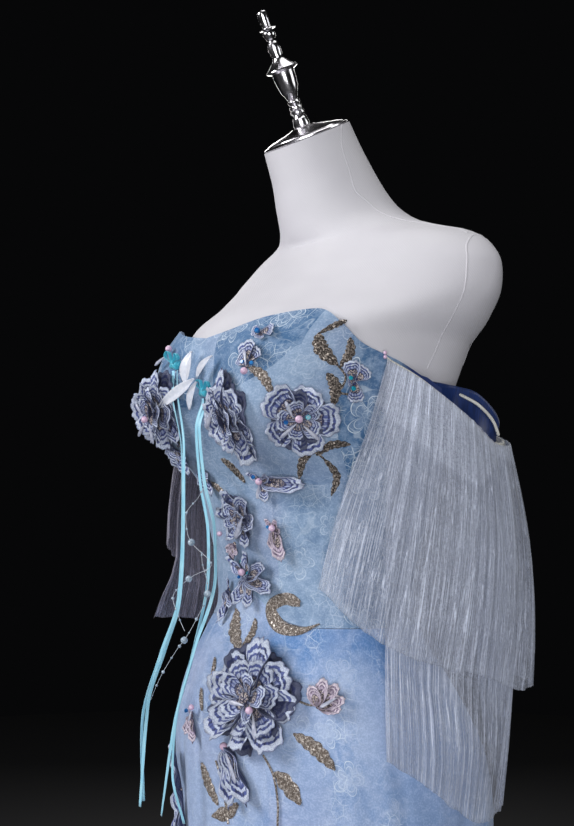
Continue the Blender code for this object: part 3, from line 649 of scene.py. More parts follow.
def sleeve_net(name, pale, dark, groups):
    """Crushed sheer net: fine bright creases down it, grain between them, and the dark showing through, also
    painted into its colour as shade.
    """
    made = plain_material(name, pale, 0.65, Sheen_Weight=0.3, Sheen_Roughness=0.4)
    tree = made.node_tree
    place = uv_place(tree)
    down = scaled(tree, place, 1.0, 0.035)
    creases = 0.0
    for scale, width, strength in ((130.0, 0.016, 1.0), (290.0, 0.028, 0.75), (620.0, 0.060, 0.40)):
        line = noise(tree, down, scale, 1.0).outputs[0]
        line = maths(tree, "ABSOLUTE", maths(tree, "SUBTRACT", line, 0.5))
        creases = maths(tree, "MAXIMUM", creases, step(tree, line, width * 0.2, width, strength, 0))
    grain = use_group(tree, groups["grain"], Place=place, Scale=1000.0)["Grain"]
    cloud = noise(tree, scaled(tree, place, 1.0, 0.3), 18, 2).outputs[0]
    dense = attribute(tree, "dense")
    bright = maths(tree, "ADD", maths(tree, "MULTIPLY", creases, 0.30), maths(tree, "MULTIPLY", grain, 0.34))
    bright = maths(tree, "ADD", bright, step(tree, cloud, 0.35, 0.65, 0.18, 0.36))
    bright = maths(tree, "ADD", bright, maths(tree, "MULTIPLY", dense, 0.08), clamp=True)
    # Painted shade: where the net is thin, its colour goes to the dark colour, for the dark behind it
    colour = mix(tree, bright, dark, pale)
    solid = maths(tree, "MULTIPLY", creases, 0.44)
    solid = maths(tree, "ADD", solid, step(tree, grain, 0.0, 1.0, 0.12, 0.31))
    solid = maths(tree, "ADD", solid, maths(tree, "MULTIPLY", dense, 0.20), clamp=True)
    height = maths(tree, "ADD", creases, maths(tree, "MULTIPLY", grain, 0.3))
    wire(made, Base_Color=colour, Alpha=solid, Normal=bump(tree, height, 0.35, 0.0004))
    return made


def embroidery(name, rim, line, middle, groups):
    """Petals in bands of thread, from a bronze heart to a pale scalloped rim; their undersides and shaded
    rings of petals get painted shade.
    """
    made = plain_material(name, rim, 0.6, Sheen_Weight=0.08, Sheen_Roughness=0.4)
    tree = made.node_tree
    place = object_place(tree)
    stitches = use_group(tree, groups["stitches"], Place=place, Scale=900.0)
    wobble = maths(tree, "SUBTRACT", noise(tree, place, 260, 2).outputs[0], 0.5)
    band = maths(tree, "MULTIPLY_ADD", wobble, 0.10)
    tree.links.new(attribute(tree, "band"), band.node.inputs[2])
    links = {0: attribute(tree, "fan"), 1: maths(tree, "MULTIPLY", band, 0.06)}
    fan = add_node(tree, "CombineXYZ", links).outputs[0]
    threads = step(tree, noise(tree, fan, 34, 2, 0.6).outputs[0], 0.38, 0.62)
    glitter = mix(tree, stitches["Spark"], (0.05, 0.038, 0.035), (0.80, 0.68, 0.58))
    colour = mix(tree, step(tree, band, 0.16, 0.20), line, glitter)
    colour = mix(tree, step(tree, band, 0.52, 0.55), colour, line)
    colour = mix(tree, step(tree, band, 0.57, 0.60), colour, mix(tree, threads, middle, rim))
    colour = mix(tree, step(tree, band, 0.68, 0.70), colour, mix(tree, threads, line, middle))
    colour = mix(tree, step(tree, band, 0.74, 0.76), colour, rim)
    colour = mix(tree, step(tree, band, 0.80, 0.82), colour, mix(tree, threads, line, middle))
    colour = mix(tree, step(tree, band, 0.87, 0.89), colour, rim)
    # Painted shadow: a thin darker edge along the very rim of each petal, for the shadow under its scallops
    colour = mix(tree, step(tree, band, 0.97, 1.0, 0.0, 0.6), colour, middle)
    gaps = step(tree, stitches["Thread"], 0.0, 1.0, 0.34, 0.0)
    colour = mix(tree, gaps, colour, middle)
    # Painted shade: undersides (under) and shaded rings of petals (shade) go towards the dark line colour
    dark = maths(tree, "MULTIPLY", attribute(tree, "under"), 0.9)
    dark = maths(tree, "MAXIMUM", dark, attribute(tree, "shade"))
    colour = mix(tree, dark, colour, line)
    wire(made, Base_Color=colour, Normal=bump(tree, stitches["Thread"], 0.8, 0.0008))
    return made


def glitter_thread(name, dark, pale, groups):
    """Leaves and stems in metal thread that glitters."""
    made = plain_material(name, pale, 0.42, 0.35)
    tree = made.node_tree
    stitches = use_group(tree, groups["stitches"], Place=object_place(tree), Scale=620.0)
    share = maths(tree, "MULTIPLY", stitches["Thread"], step(tree, stitches["Spark"], 0.0, 1.0, 0.40, 1.0))
    share = maths(tree, "MULTIPLY", share, step(tree, attribute(tree, "rib"), 0.0, 1.0, 1.0, 0.45))
    colour = mix(tree, share, dark, pale)
    wire(made, Base_Color=colour, Roughness=step(tree, share, 0.0, 1.0, 0.6, 0.25))
    wire(made, Normal=bump(tree, stitches["Thread"], 0.9, 0.0008))
    return made


def satin(name, colour, shade):
    """Satin ribbon: a soft sheen in streaks along it."""
    made = plain_material(name, colour, 0.34, Sheen_Weight=0.25)
    made.node_tree.nodes["Principled BSDF"].inputs["Anisotropic"].default_value = 0.5
    tree = made.node_tree
    threads = noise(tree, scaled(tree, uv_place(tree), 1.0, 0.04), 1500, 2.0).outputs[0]
    wire(made, Base_Color=mix(tree, step(tree, threads, 0.3, 0.7), shade, colour))
    wire(made, Normal=bump(tree, threads, 0.15, 0.0003))
    return made


def form_cover():
    """The form's off-white jersey, with its fine slanting ribs."""
    made = plain_material("form_jersey", (0.68, 0.665, 0.70), 0.85, Sheen_Weight=0.12)
    tree = made.node_tree
    place = object_place(tree)
    ribs = add_node(
        tree,
        "TexWave",
        {"Vector": place, "Scale": 190.0, "Distortion": 1.2, "Detail": 1.0, "Detail Scale": 3.0},
        bands_direction="DIAGONAL",
    ).outputs["Fac"]
    soft = noise(tree, place, 7, 3).outputs[0]
    colour = mix(tree, step(tree, soft, 0.3, 0.7), (0.63, 0.615, 0.655), (0.71, 0.695, 0.725))
    colour = mix(tree, maths(tree, "MULTIPLY", ribs, 0.10), colour, (0.62, 0.60, 0.64))
    wire(made, Base_Color=colour, Normal=bump(tree, ribs, 0.18, 0.0003))
    return made


def polished_chrome():
    made = plain_material("polished_chrome", (0.62, 0.61, 0.63), 0.09, 1.0)
    tree = made.node_tree
    smudge = noise(tree, object_place(tree), 60, 3).outputs[0]
    wire(made, Roughness=step(tree, smudge, 0.35, 0.75, 0.16, 0.30))
    wire(made, Base_Color=mix(tree, step(tree, smudge, 0.4, 0.8), (0.86, 0.84, 0.87), (0.68, 0.66, 0.70)))
    return made


def milky(name, colour, edge, roughness):
    """Beads of pearly or frosted glass, a little cloudy inside."""
    made = plain_material(name, colour, roughness, Coat_Weight=0.6, Coat_Roughness=0.15)
    tree = made.node_tree
    cloud = noise(tree, object_place(tree), 260, 2).outputs[0]
    wire(made, Base_Color=mix(tree, step(tree, cloud, 0.3, 0.7), edge, colour))
    return made


def make_materials():
    groups = {"lace": make_lace_group(), "grain": make_grain_group(), "stitches": make_stitch_group()}
    made = {
        "bodice": gown_tulle("bodice_tulle", (0.315, 0.44, 0.62), (0.042, 0.145, 0.31), groups),
        "skirt": gown_tulle("skirt_tulle", (0.40, 0.515, 0.76), (0.11, 0.26, 0.56), groups),
        "sleeve": sleeve_net("sleeve_net", (0.80, 0.86, 1.0), (0.22, 0.24, 0.32), groups),
        # The far sleeve: a darker, greyer copy of the same net, painted shade for the shade it hangs in
        "sleeve_far": sleeve_net("sleeve_net_painted_shade", (0.50, 0.47, 0.58), (0.12, 0.11, 0.15), groups),
        "lilac": embroidery(
            "lilac_embroidery", (0.80, 0.87, 1.0), (0.010, 0.017, 0.085), (0.11, 0.15, 0.42), groups),
        "rose": embroidery(
            "rose_embroidery", (0.92, 0.82, 0.90), (0.10, 0.07, 0.14), (0.46, 0.36, 0.50), groups),
        "glitter": glitter_thread("champagne_glitter", (0.17, 0.135, 0.11), (1.0, 0.90, 0.82), groups),
        "glitter_dark": glitter_thread("bronze_glitter", (0.05, 0.04, 0.035), (0.84, 0.72, 0.62), groups),
        "ribbon": satin("sky_satin", (0.45, 0.80, 0.92), (0.24, 0.60, 0.80)),
        "teal": satin("teal_satin", (0.09, 0.58, 0.72), (0.03, 0.34, 0.48)),
        "navy": satin("navy_satin", (0.012, 0.040, 0.18), (0.006, 0.018, 0.08)),
        "cream": satin("cream_satin", (0.80, 0.79, 0.72), (0.58, 0.57, 0.52)),
        "form": form_cover(),
        "chrome": polished_chrome(),
        "pink_bead": milky("pink_bead", (0.82, 0.60, 0.76), (0.66, 0.44, 0.62), 0.25),
        "frosted": milky("frosted_drop", (0.56, 0.58, 0.68), (0.36, 0.38, 0.50), 0.4),
        "blue_crystal": milky("blue_crystal", (0.03, 0.22, 0.55), (0.01, 0.10, 0.36), 0.06),
        "teal_crystal": milky("teal_crystal", (0.02, 0.36, 0.46), (0.01, 0.20, 0.30), 0.06),
        "clear_bead": milky("clear_bead", (0.50, 0.60, 0.70), (0.25, 0.33, 0.42), 0.04),
        "thread": milky("clear_thread", (0.70, 0.74, 0.80), (0.55, 0.60, 0.66), 0.3),
        "organza": milky("white_organza", (0.86, 0.88, 0.95), (0.74, 0.78, 0.88), 0.5),
    }
    made["organza"].node_tree.nodes["Principled BSDF"].inputs["Alpha"].default_value = 0.86
    return made


# Setting pieces on the gown

@functools.lru_cache(maxsize=None)
def gown_surface():
    """The gown's outer face from the thighs up, as one smooth surface without seams and folds."""
    angles = np.arange(-180, 181, 2.5)
    heights = np.arange(0.70, 1.34, 0.0075)
    points = [gown_point(a, h, BODICE_WALL) for h in heights for a in angles]
    faces = []
    for r in range(len(heights) - 1):
        for k in range(len(angles) - 1):
            start = r * len(angles) + k
            faces.append((start, start + 1, start + len(angles) + 1, start + len(angles)))
    return BVHTree.FromPolygons(points, faces)


def seat(angle, height):
    """(centre, across, up, normal) of a place on the gown."""
    centre, normal = gown_frame(angle, height)
    up = (Vector((0, 0, 1)) - normal * normal.z).normalized()
    return centre + normal * BODICE_WALL, up.cross(normal), up, normal


def beside(place, angle, height):
    """How far (across, up) another place on the gown lies from this one."""
    centre, across, up, _ = place
    away = gown_point(angle, height, BODICE_WALL) - centre
    return np.array([away.dot(across), away.dot(up)])


def lay(points, place):
    """Points (across, up, out) about a place, each dropped onto the gown beneath it."""
    centre, across, up, normal = place
    made = []
    for x, y, z in points:
        flat = centre + across * x + up * y
        hit = gown_surface().ray_cast(flat + normal * 0.05, -normal, 0.12)[0]
        low = (hit - flat).dot(normal) if hit else -0.03
        made.append(flat + normal * (max(low, -0.03) + z))
    return made


# The ribbons: four satin tails with free ends, hanging from two knots at the neckline

RIBBON_WIDTH = 0.0034
RIBBON_POINTS = 40

KNOTS = {
    "knot_right": (-12.5, 1.2815, 0.0004, (0.0090, 0.0048, 0.0056)),
    "knot_left": (4.2, 1.2520, -0.0002, (0.0095, 0.0048, 0.0058)),
}

RIBBONS = {
    "ribbon_right_outer": ("knot_right", -0.0036, table(
        "height x y",
        (0.836, -0.077, -0.159),
        (0.918, -0.071, -0.164),
        (0.989, -0.050, -0.155),
        (1.043, -0.030, -0.148),
        (1.109, -0.020, -0.149),
        (1.194, -0.016, -0.153),
        (1.244, -0.028, -0.156),
    )),
    "ribbon_right_inner": ("knot_right", 0.0036, table(
        "height x y",
        (0.835, -0.063, -0.171),
        (0.938, -0.053, -0.168),
        (0.994, -0.034, -0.160),
        (1.045, -0.018, -0.153),
        (1.110, -0.008, -0.155),
        (1.194, -0.005, -0.157),
        (1.244, -0.018, -0.156),
    )),
    "ribbon_left_outer": ("knot_left", -0.0038, table(
        "height x y",
        (0.820, -0.030, -0.139),
        (0.868, -0.038, -0.148),
        (0.921, -0.031, -0.149),
        (0.996, -0.007, -0.143),
        (1.072, 0.008, -0.136),
        (1.112, 0.009, -0.137),
        (1.164, 0.006, -0.145),
        (1.218, 0.007, -0.150),
    )),
    "ribbon_left_inner": ("knot_left", 0.0038, table(
        "height x y",
        (0.828, -0.043, -0.158),
        (0.920, -0.020, -0.158),
        (0.996, 0.004, -0.150),
        (1.072, 0.021, -0.136),
        (1.112, 0.021, -0.137),
        (1.165, 0.018, -0.148),
        (1.218, 0.017, -0.153),
    )),
}


def knot_place(name):
    angle, height, off, half = KNOTS[name]
    return gown_point(angle, height, BODICE_WALL + off + half[1]), half


def ribbon_route(knot, aside, rows):
    """Points down a ribbon, straight out of its knot and then on to its free end."""
    centre, half = knot_place(knot)
    top = centre + Vector((aside, 0, -half[2] - SEAM_GAP))
    under = top.z - 0.006
    heights, xs, ys = (*rows["height"], under), (*rows["x"], top.x), (*rows["y"], top.y)
    steps = [under + (heights[0] - under) * k / (RIBBON_POINTS - 2) for k in range(RIBBON_POINTS - 1)]
    return [tuple(top)] + [(smooth(heights, xs, h), smooth(heights, ys, h), h) for h in steps]


def length_of(route):
    return sum(math.dist(a, b) for a, b in zip(route, route[1:]))


def make_ribbon(node, knot, aside, rows, material, seed):
    """A flat ribbon that turns a little about its own line as it hangs."""
    route = ribbon_route(knot, aside, rows)
    obj, u, v = add_grid(node + "_satin", 4, len(route) * 2)
    points = []
    for x, t in zip(u, 1 - v):
        middle = through(route, t)
        ahead = through(route, min(t + 0.01, 1)) - through(route, max(t - 0.01, 0))
        down = Vector(ahead).normalized()
        turn = math.radians(25 + 38 * math.sin(5.3 * t + seed) + 22 * math.sin(13 * t + 2 * seed))
        side = Matrix.Rotation(turn, 3, down) @ down.cross(Vector((0.8, -0.6, 0))).normalized()
        width = RIBBON_WIDTH * (0.96 + 0.04 * math.sin(21 * t + seed))
        cupped = down.cross(side) * (0.0004 * math.cos(math.pi * (x - 0.5)))
        points.append(Vector(middle) + side * ((x - 0.5) * width) + cupped)
    set_points(obj, points)
    set_uv(obj, u * RIBBON_WIDTH, (1 - v) * length_of(route))
    thicken(obj, 0.0004, 0)
    finish(obj, material, "ribbon", node)


def make_knot(name, material):
    """A knot of ribbon wound over itself, with three turns across it."""
    centre, half = knot_place(name)
    parts = []
    for k, (tilt, slide, size) in enumerate(((12, -0.42, 0.80), (-16, 0.0, 1.0), (9, 0.42, 0.84))):
        clear_selection()
        bpy.ops.mesh.primitive_torus_add(
            major_segments=28, minor_segments=8, major_radius=1, minor_radius=0.34)
        turn = points_of(bpy.context.active_object)
        lean = math.radians(tilt)
        flat = turn[:, [2, 0, 1]] * [0.9, size * 0.74, size * 0.74]
        flat[:, 0] += slide + flat[:, 2] * math.tan(lean)
        set_points(bpy.context.active_object, flat * half + np.array(centre))
        parts.append(bpy.context.active_object)
    clear_selection()
    bpy.ops.mesh.primitive_uv_sphere_add(segments=20, ring_count=12, radius=1)
    core = bpy.context.active_object
    ball = points_of(core)
    set_points(core, ball * half * [0.96, 0.80, 0.80] + np.array(centre))
    parts.append(core)
    return finish(join(name + "_wound", parts), material, "ribbon", name)


LOOP_WIDTH = 0.0042

# Loops at the knots: knot, direction in degrees clockwise from up, and length
LOOPS = (
    ("knot_right", -40, 0.017),
    ("knot_right", 50, 0.014),
    ("knot_left", -30, 0.013),
    ("knot_left", 60, 0.015),
)


def make_loops(material):
    """Small loops of the same ribbon, which stand up out of each knot."""
    parts = []
    for knot, direction, length in LOOPS:
        centre, half = knot_place(knot)
        turn = math.radians(direction)
        ahead = Vector((math.sin(turn), 0, math.cos(turn)))
        aside = Vector((math.cos(turn), 0, -math.sin(turn)))
        obj, u, v = add_grid("loop", 4, 28)
        points = []
        for x, t in zip(u, v):
            out = math.sin(math.pi * t)
            bow = 0.0032 * math.sin(math.tau * t) * (0.6 + 0.8 * out)
            middle = Vector(centre) + ahead * (length * out ** 0.8) + aside * bow
            forward = half[1] * 0.5 + (x - 0.5) * LOOP_WIDTH + 0.002 * out
            points.append(middle + Vector((0, -1, 0)) * forward)
        set_points(obj, points)
        set_uv(obj, u * LOOP_WIDTH, v * 0.03)
        thicken(obj, 0.0004, 0)
        parts.append(obj)
    finish(join("knot_loops", parts), material, "ribbon")


# Strings of small clear beads between the ribbons, each point's x and height on an upright plane
STRING_PLANE = -0.152
THREAD = 0.0005
STRINGS = {
    "bead_string_upper": (
        (0.0269, 1.1555),
        (0.0185, 1.1460),
        (0.0035, 1.1366),
        (-0.0029, 1.1283),
        (-0.0028, 1.1119),
        (0.0038, 1.1017),
        (0.0189, 1.0931),
        (0.0327, 1.0853),
        (0.0295, 1.0783),
        (0.0018, 1.0704),
        (-0.0244, 1.0581),
        (-0.0368, 1.0490),
        (-0.0367, 1.0419),
        (-0.0276, 1.0319),
        (-0.0188, 1.0235),
        (-0.0086, 1.0150),
    ),
    "bead_string_lower": (
        (0.0189, 1.0931),
        (0.0179, 1.0823),
        (0.0223, 1.0716),
        (0.0249, 1.0610),
        (0.0232, 1.0478),
        (0.0125, 1.0320),
        (0.0003, 1.0147),
        (-0.0085, 1.0050),
        (-0.0185, 0.9961),
        (-0.0381, 0.9769),
        (-0.0567, 0.9585),
        (-0.0764, 0.9376),
    ),
}


def make_bead_string(name, places, materials):
    line = [(x, STRING_PLANE - 0.004 * math.sin(40 * z), z) for x, z in places]
    route = [tuple(through(line, k / 40)) for k in range(41)]
    curve = bpy.data.curves.new(name, "CURVE")
    curve.dimensions = "3D"
    curve.bevel_depth = THREAD / 2
    curve.bevel_resolution = 1
    curve.use_fill_caps = True
    spline = curve.splines.new("POLY")
    spline.points.add(len(route) - 1)
    for point, place in zip(spline.points, route):
        point.co = (*place, 1)
    thread = bpy.data.objects.new(name, curve)
    bpy.context.scene.collection.objects.link(thread)
    curve.materials.append(materials["thread"])
    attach(thread, "root")
    beads = []
    for k in range(1, 40, 3):
        size = 0.0036 if k in (13, 25) else 0.0013 * uneven(k, len(places))
        beads.append(add_ball(Vector(route[k]), size, 12, 8))
    beads = finish(join(name + "_beads", beads), materials["clear_bead"], "ribbon")


def add_ball(centre, radius, segments=16, rings=10):
    clear_selection()
    bpy.ops.mesh.primitive_uv_sphere_add(segments=segments, ring_count=rings, radius=1)
    ball = bpy.context.active_object
    set_points(ball, points_of(ball) * radius + np.array(centre))
    return ball


# White organza petals at the knots: name, foot (angle, height), tip (angle, height), distance out, half width
ORGANZA = (
    ("organza_wide", (-4.5, 1.2618), (-1.9, 1.2930), 0.010, 0.0086),
    ("organza_long", (2.6, 1.2644), (-17.6, 1.2379), 0.013, 0.0060),
    ("organza_high", (2.2, 1.2657), (11.5, 1.2850), 0.009, 0.0048),
    ("organza_low", (2.7, 1.2617), (-2.9, 1.2350), 0.010, 0.0056),
)


def make_organza(materials):
    for name, foot, tip, out, half in ORGANZA:
        place = seat(*foot)
        reach = beside(place, *tip)
        length = float(np.hypot(*reach))
        along = reach / length
        side = np.array([-along[1], along[0]])
        obj, u, v = add_grid(name, 8, 20)
        wide = half * np.sin(np.pi * np.clip(v, 0.02, 0.98)) ** 0.7 * (1.15 - 0.3 * v)
        flat = np.outer(v * length, along) + np.outer((u * 2 - 1) * wide, side)
        lift = out + 0.0022 * np.abs(u * 2 - 1) + 0.003 * np.sin(np.pi * v) - 0.0015 * v
        set_points(obj, lay(np.column_stack([flat, lift]), place))
        set_uv(obj, u * half * 2, v * length)
        thicken(obj, 0.0003, 0)
        finish(obj, materials["organza"], "ribbon")


# The dress form

FORM_LOW = 0.800
FORM_CHEST = 1.260
CHEST_BLEND = 0.045
FORM_COLUMNS = 144
FORM_ROWS = 150
NECK_TILT = math.radians(26)
NECK_TOP = Vector((0, -0.006, 1.534))


def form_sizes(height):
    """The form's centre_y, half_width, front, back and tilt at a height."""
    top = FORM_TOP["height"][0]
    if height >= top:
        return [read(FORM_TOP, c, height) for c in ("centre_y", "half_width", "front", "back", "tilt")]
    low = min(height, FORM_CHEST)
    inset = 0.004 + 0.010 * ease_in(WAIST_SIDE - low, 0, 0.12) + 0.030 * ease_in(0.825 - low, 0, 0.03)
    sizes = [read(GOWN, c, low) for c in ("centre_y", "half_width", "front", "back")]
    sizes = [sizes[0], *(s - inset for s in sizes[1:]), 0]
    share = max(height - FORM_CHEST, 0) / (top - FORM_CHEST)
    return [a + (b - a) * share for a, b in zip(sizes, form_sizes(top))] if share else sizes


def form_point(angle, height):
    centre_y, half_width, front, back, tilt = form_sizes(height)
    roundness = 2.15 - 0.33 * ease_in(height, 1.31, 1.36) + 0.18 * ease_in(height, 1.41, 1.45)
    x, y = ring_point(angle, centre_y, half_width, front, back, roundness)
    if math.cos(math.radians(angle)) > 0 and height < FORM_TOP["height"][0]:
        below = FORM_TOP["height"][0] - height
        y -= 0.8 * cup(x, min(height, FORM_CHEST)) * min(1, below / CHEST_BLEND)
    lean = math.radians(tilt)
    along = y - centre_y
    return Vector((x, centre_y + along * math.cos(lean), height + along * math.sin(lean)))


# Seams of the form's cover on the wearer's left, as (x, y, z) near it; each is made on both sides
FORM_SEAMS = {
    "neck_side": ((0.048, 0.004, 1.541), (0.050, 0.002, 1.516), (0.053, 0.010, 1.490), (0.057, 0.015, 1.469),
                  (0.062, 0.026, 1.459), (0.075, 0.040, 1.445), (0.105, 0.062, 1.433), (0.140, 0.072, 1.422),
                  (0.166, 0.070, 1.412)),
    "armhole": ((0.150, 0.105, 1.395), (0.166, 0.085, 1.408), (0.172, 0.070, 1.408), (0.179, 0.055, 1.396),
                (0.187, 0.047, 1.377), (0.189, 0.040, 1.352), (0.187, 0.030, 1.328), (0.168, 0.028, 1.301),
                (0.157, 0.020, 1.272)),
    "armhole_back": ((0.150, 0.105, 1.395), (0.152, 0.128, 1.370), (0.152, 0.140, 1.340),
                     (0.150, 0.132, 1.305), (0.150, 0.108, 1.275)),
}


def make_form(materials):
    obj, u, v = add_grid("form_cover", FORM_COLUMNS, FORM_ROWS)
    heights = FORM_LOW + v * (NECK_TOP.z - FORM_LOW)
    set_points(obj, [form_point(360 * a, h) for a, h in zip(u, heights)])
    set_uv(obj, u, v)
    close_seam(obj)
    start_edit(obj)
    bpy.ops.mesh.fill_holes(sides=0)
    end_edit()
    finish(obj, materials["form"], "form_cloth", "form_torso", sharp=40)
    tree = BVHTree.FromPolygons([v.co for v in obj.data.vertices], [p.vertices for p in obj.data.polygons])
    parts = []
    for points in FORM_SEAMS.values():
        for side in (1, -1):
            line = [through([(side * x, y, z) for x, y, z in points], k / 60) for k in range(61)]
            line = [tree.find_nearest(Vector(p)) for p in line]
            parts.append(add_welt([hit[0] for hit in line], [hit[1] for hit in line], 0.0008))
    finish(join("form_seams", parts), materials["form"], "form_cloth")


def add_welt(points, normals, radius):
    """A thin raised seam along points on a surface."""
    obj, u, v = add_grid("welt", 6, len(points) - 1)
    made = []
    for x, t in zip(u, v):
        k = int(round(t * (len(points) - 1)))
        ahead = points[min(k + 1, len(points) - 1)] - points[max(k - 1, 0)]
        side = ahead.cross(normals[k]).normalized()
        turn = math.pi * (x - 0.5)
        made.append(points[k] + (side * math.sin(turn) * 1.3 + normals[k] * (math.cos(turn) * 0.55)) * radius)
    set_points(obj, made)
    return obj


def turned(name, profile, steps, place):
    """A turned piece about its own Z, from (radius, height) points."""
    mesh = bpy.data.meshes.new(name)
    mesh.from_pydata([(r, 0, h) for r, h in profile], [(k, k + 1) for k in range(len(profile) - 1)], [])
    obj = bpy.data.objects.new(name, mesh)
    bpy.context.scene.collection.objects.link(obj)
    start_edit(obj)
    bpy.ops.mesh.spin(steps=steps, angle=math.tau, center=(0, 0, 0), axis=(0, 0, 1))
    bpy.ops.mesh.select_all(action="SELECT")
    bpy.ops.mesh.remove_doubles(threshold=MERGE)
    bpy.ops.mesh.normals_make_consistent(inside=False)
    end_edit()
    obj.data.transform(place)
    return obj


CAP_PROFILE = ((0, 0.0004), (0.0468, 0.0004), (0.0475, 0.0010), (0.0475, 0.0024), (0.0466, 0.0031),
               (0.0435, 0.0036), (0.0428, 0.0046), (0.0418, 0.0050), (0.0360, 0.0066), (0.0240, 0.0090),
               (0.0150, 0.0112), (0.0120, 0.0126), (0.0, 0.0130))
FINIAL_PROFILE = ((0, 0.0134), (0.0088, 0.0134), (0.0090, 0.0150), (0.0080, 0.0215), (0.0058, 0.0240),
                  (0.0052, 0.0268), (0.0078, 0.0282), (0.0078, 0.0296), (0.0052, 0.0312), (0.0072, 0.0330),
                  (0.0072, 0.0344), (0.0050, 0.0362), (0.0066, 0.0390), (0.0066, 0.0404), (0.0048, 0.0424),
                  (0.0064, 0.0450), (0.0074, 0.0474), (0.0092, 0.0515), (0.0106, 0.0565), (0.0117, 0.0640),
                  (0.0122, 0.0715), (0.0124, 0.0730), (0.0170, 0.0750), (0.0174, 0.0758), (0.0170, 0.0768),
                  (0.0135, 0.0795), (0.0100, 0.0832), (0.0066, 0.0870), (0.0058, 0.0890), (0.0062, 0.0925),
                  (0.0068, 0.0970), (0.0068, 0.1010), (0.0060, 0.1042), (0.0040, 0.1062), (0.0036, 0.1074),
                  (0.0052, 0.1094), (0.0063, 0.1122), (0.0068, 0.1146), (0.0062, 0.1172), (0.0050, 0.1188),
                  (0.0086, 0.1192), (0.0089, 0.1198), (0.0084, 0.1203), (0.0046, 0.1216), (0.0052, 0.1240),
                  (0.0054, 0.1300), (0.0056, 0.1366), (0.0050, 0.1382), (0.0042, 0.1390), (0, 0.1390))


def make_chrome(materials):
    place = Matrix.Translation(NECK_TOP) @ Matrix.Rotation(NECK_TILT, 4, "X")
    cap = turned("neck_cap_polished", CAP_PROFILE, 96, place)
    finish(cap, materials["chrome"], "chrome", "form_neck_cap", sharp=30)
    finial = turned("finial_polished", FINIAL_PROFILE, 48, place)
    finish(finial, materials["chrome"], "chrome", "form_finial", sharp=30)
    for name in ("stand_base", "stand_pole"):
        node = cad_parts[name]
        node.data.materials.clear()
        node.data.materials.append(materials["chrome"])


# The cloth of the bodice and the skirt

# Creases of the bodice, each from (a0, h0) to (a1, h1), with its width and depth in metres
CRINKLES = table(
    "a0 h0 a1 h1 wide deep",
    (-2, 1.170, 14, 1.118, 0.0050, -0.0016),
    (4, 1.165, 22, 1.128, 0.0040, 0.0012),
    (-8, 1.150, 6, 1.105, 0.0045, -0.0014),
    (10, 1.140, 20, 1.090, 0.0050, 0.0011),
    (-14, 1.120, 4, 1.080, 0.0048, -0.0015),
    (8, 1.100, 18, 1.060, 0.0052, -0.0012),
    (-10, 1.090, 2, 1.056, 0.0046, 0.0012),
    (16, 1.086, 26, 1.046, 0.0055, 0.0010),
    (-20, 1.150, -12, 1.070, 0.0060, -0.0012),
    (28, 1.150, 52, 1.128, 0.0080, -0.0008),
    (30, 1.052, 56, 1.040, 0.0070, -0.0009),
    (34, 1.036, 62, 1.030, 0.0050, 0.0008),
    (62, 1.206, 66, 1.110, 0.0060, -0.0010),
    (70, 1.060, 100, 1.046, 0.0070, -0.0012),
    (74, 1.090, 104, 1.070, 0.0080, 0.0010),
    (96, 1.240, 108, 1.150, 0.0090, -0.0012),
    (120, 1.075, 150, 1.050, 0.0080, -0.0013),
    (126, 1.110, 160, 1.084, 0.0090, 0.0010),
    (140, 1.230, 152, 1.140, 0.0080, -0.0009),
    (-34, 1.150, -56, 1.124, 0.0080, -0.0009),
    (-30, 1.052, -54, 1.038, 0.0070, -0.0009),
    (-64, 1.204, -68, 1.108, 0.0060, -0.0010),
    (-72, 1.064, -100, 1.044, 0.0070, -0.0012),
    (-98, 1.236, -108, 1.150, 0.0090, -0.0011),
    (-122, 1.078, -150, 1.052, 0.0080, -0.0012),
    (-128, 1.110, -158, 1.090, 0.0090, 0.0010),
    (-142, 1.226, -150, 1.138, 0.0080, -0.0009),
)


def crinkled(angle, height):
    """How far the bodice's creases move the cloth out."""
    degree = 0.0024
    total = np.zeros(len(angle))
    for a0, h0, a1, h1, wide, deep in zip(*CRINKLES.values()):
        dx, dy = (a1 - a0) * degree, h1 - h0
        x, y = (angle - a0) * degree, height - h0
        t = np.clip((x * dx + y * dy) / (dx * dx + dy * dy), 0, 1)
        wave = 0.0018 * np.sin(9 * t + a0)
        away = (x * dy - y * dx) / math.hypot(dx, dy) - wave
        past = np.hypot(x - t * dx, y - t * dy)
        near = np.where((t > 0) & (t < 1), np.abs(away), past)
        total += deep * bell(near, wide) * np.sin(np.pi * np.clip(t, 0.02, 0.98)) ** 0.6
    return total


def cloth(
    name, node, angles, rows, height_at, wall, columns, steps, material, slot, deep, lace, folds, gone=None
):
    """A thin shell on the form of its solid: angles and rows give its span, height_at each row's height."""
    obj, u, v = add_grid(name, columns, steps)
    if gone:
        delete_faces(obj, lambda x, y, z: gone(
            angles[0] + (x + 0.5) * (angles[1] - angles[0]), rows[0] + (y + 0.5) * (rows[1] - rows[0])))
        flat = points_of(obj)
        u, v = flat[:, 0] + 0.5, flat[:, 1] + 0.5
    angle = angles[0] + u * (angles[1] - angles[0])
    row = rows[0] + v * (rows[1] - rows[0])
    height = np.array([height_at(a, r) for a, r in zip(angle, row)])
    edge = np.where(u < 0.001, 1, 0) - np.where(u > 0.999, 1, 0)
    frames = [gown_frame(a, h) for a, h in zip(angle, height)]
    points = np.array([p for p, _ in frames])
    normals = np.array([n for _, n in frames])
    radius = np.hypot(points[:, 0], points[:, 1])
    apart = np.degrees(SEAM_SHOWN / 2 / radius)
    points = np.array([gown_inside(a, h) for a, h in zip(angle + edge * apart, height)])
    out = wall + folds(angle, height)
    set_points(obj, points + normals * out[:, None])
    middle = sum(angles) / 2
    set_uv(obj, np.radians(angle - middle) * radius + middle * 0.003, height)
    set_value(obj, "deep", deep(angle, height))
    set_value(obj, "lace", lace(angle, height))
    set_value(obj, "navy", satin_edge(angle, height))
    thicken(obj, 0.0007)
    return finish(obj, material, slot, node, sharp=60)


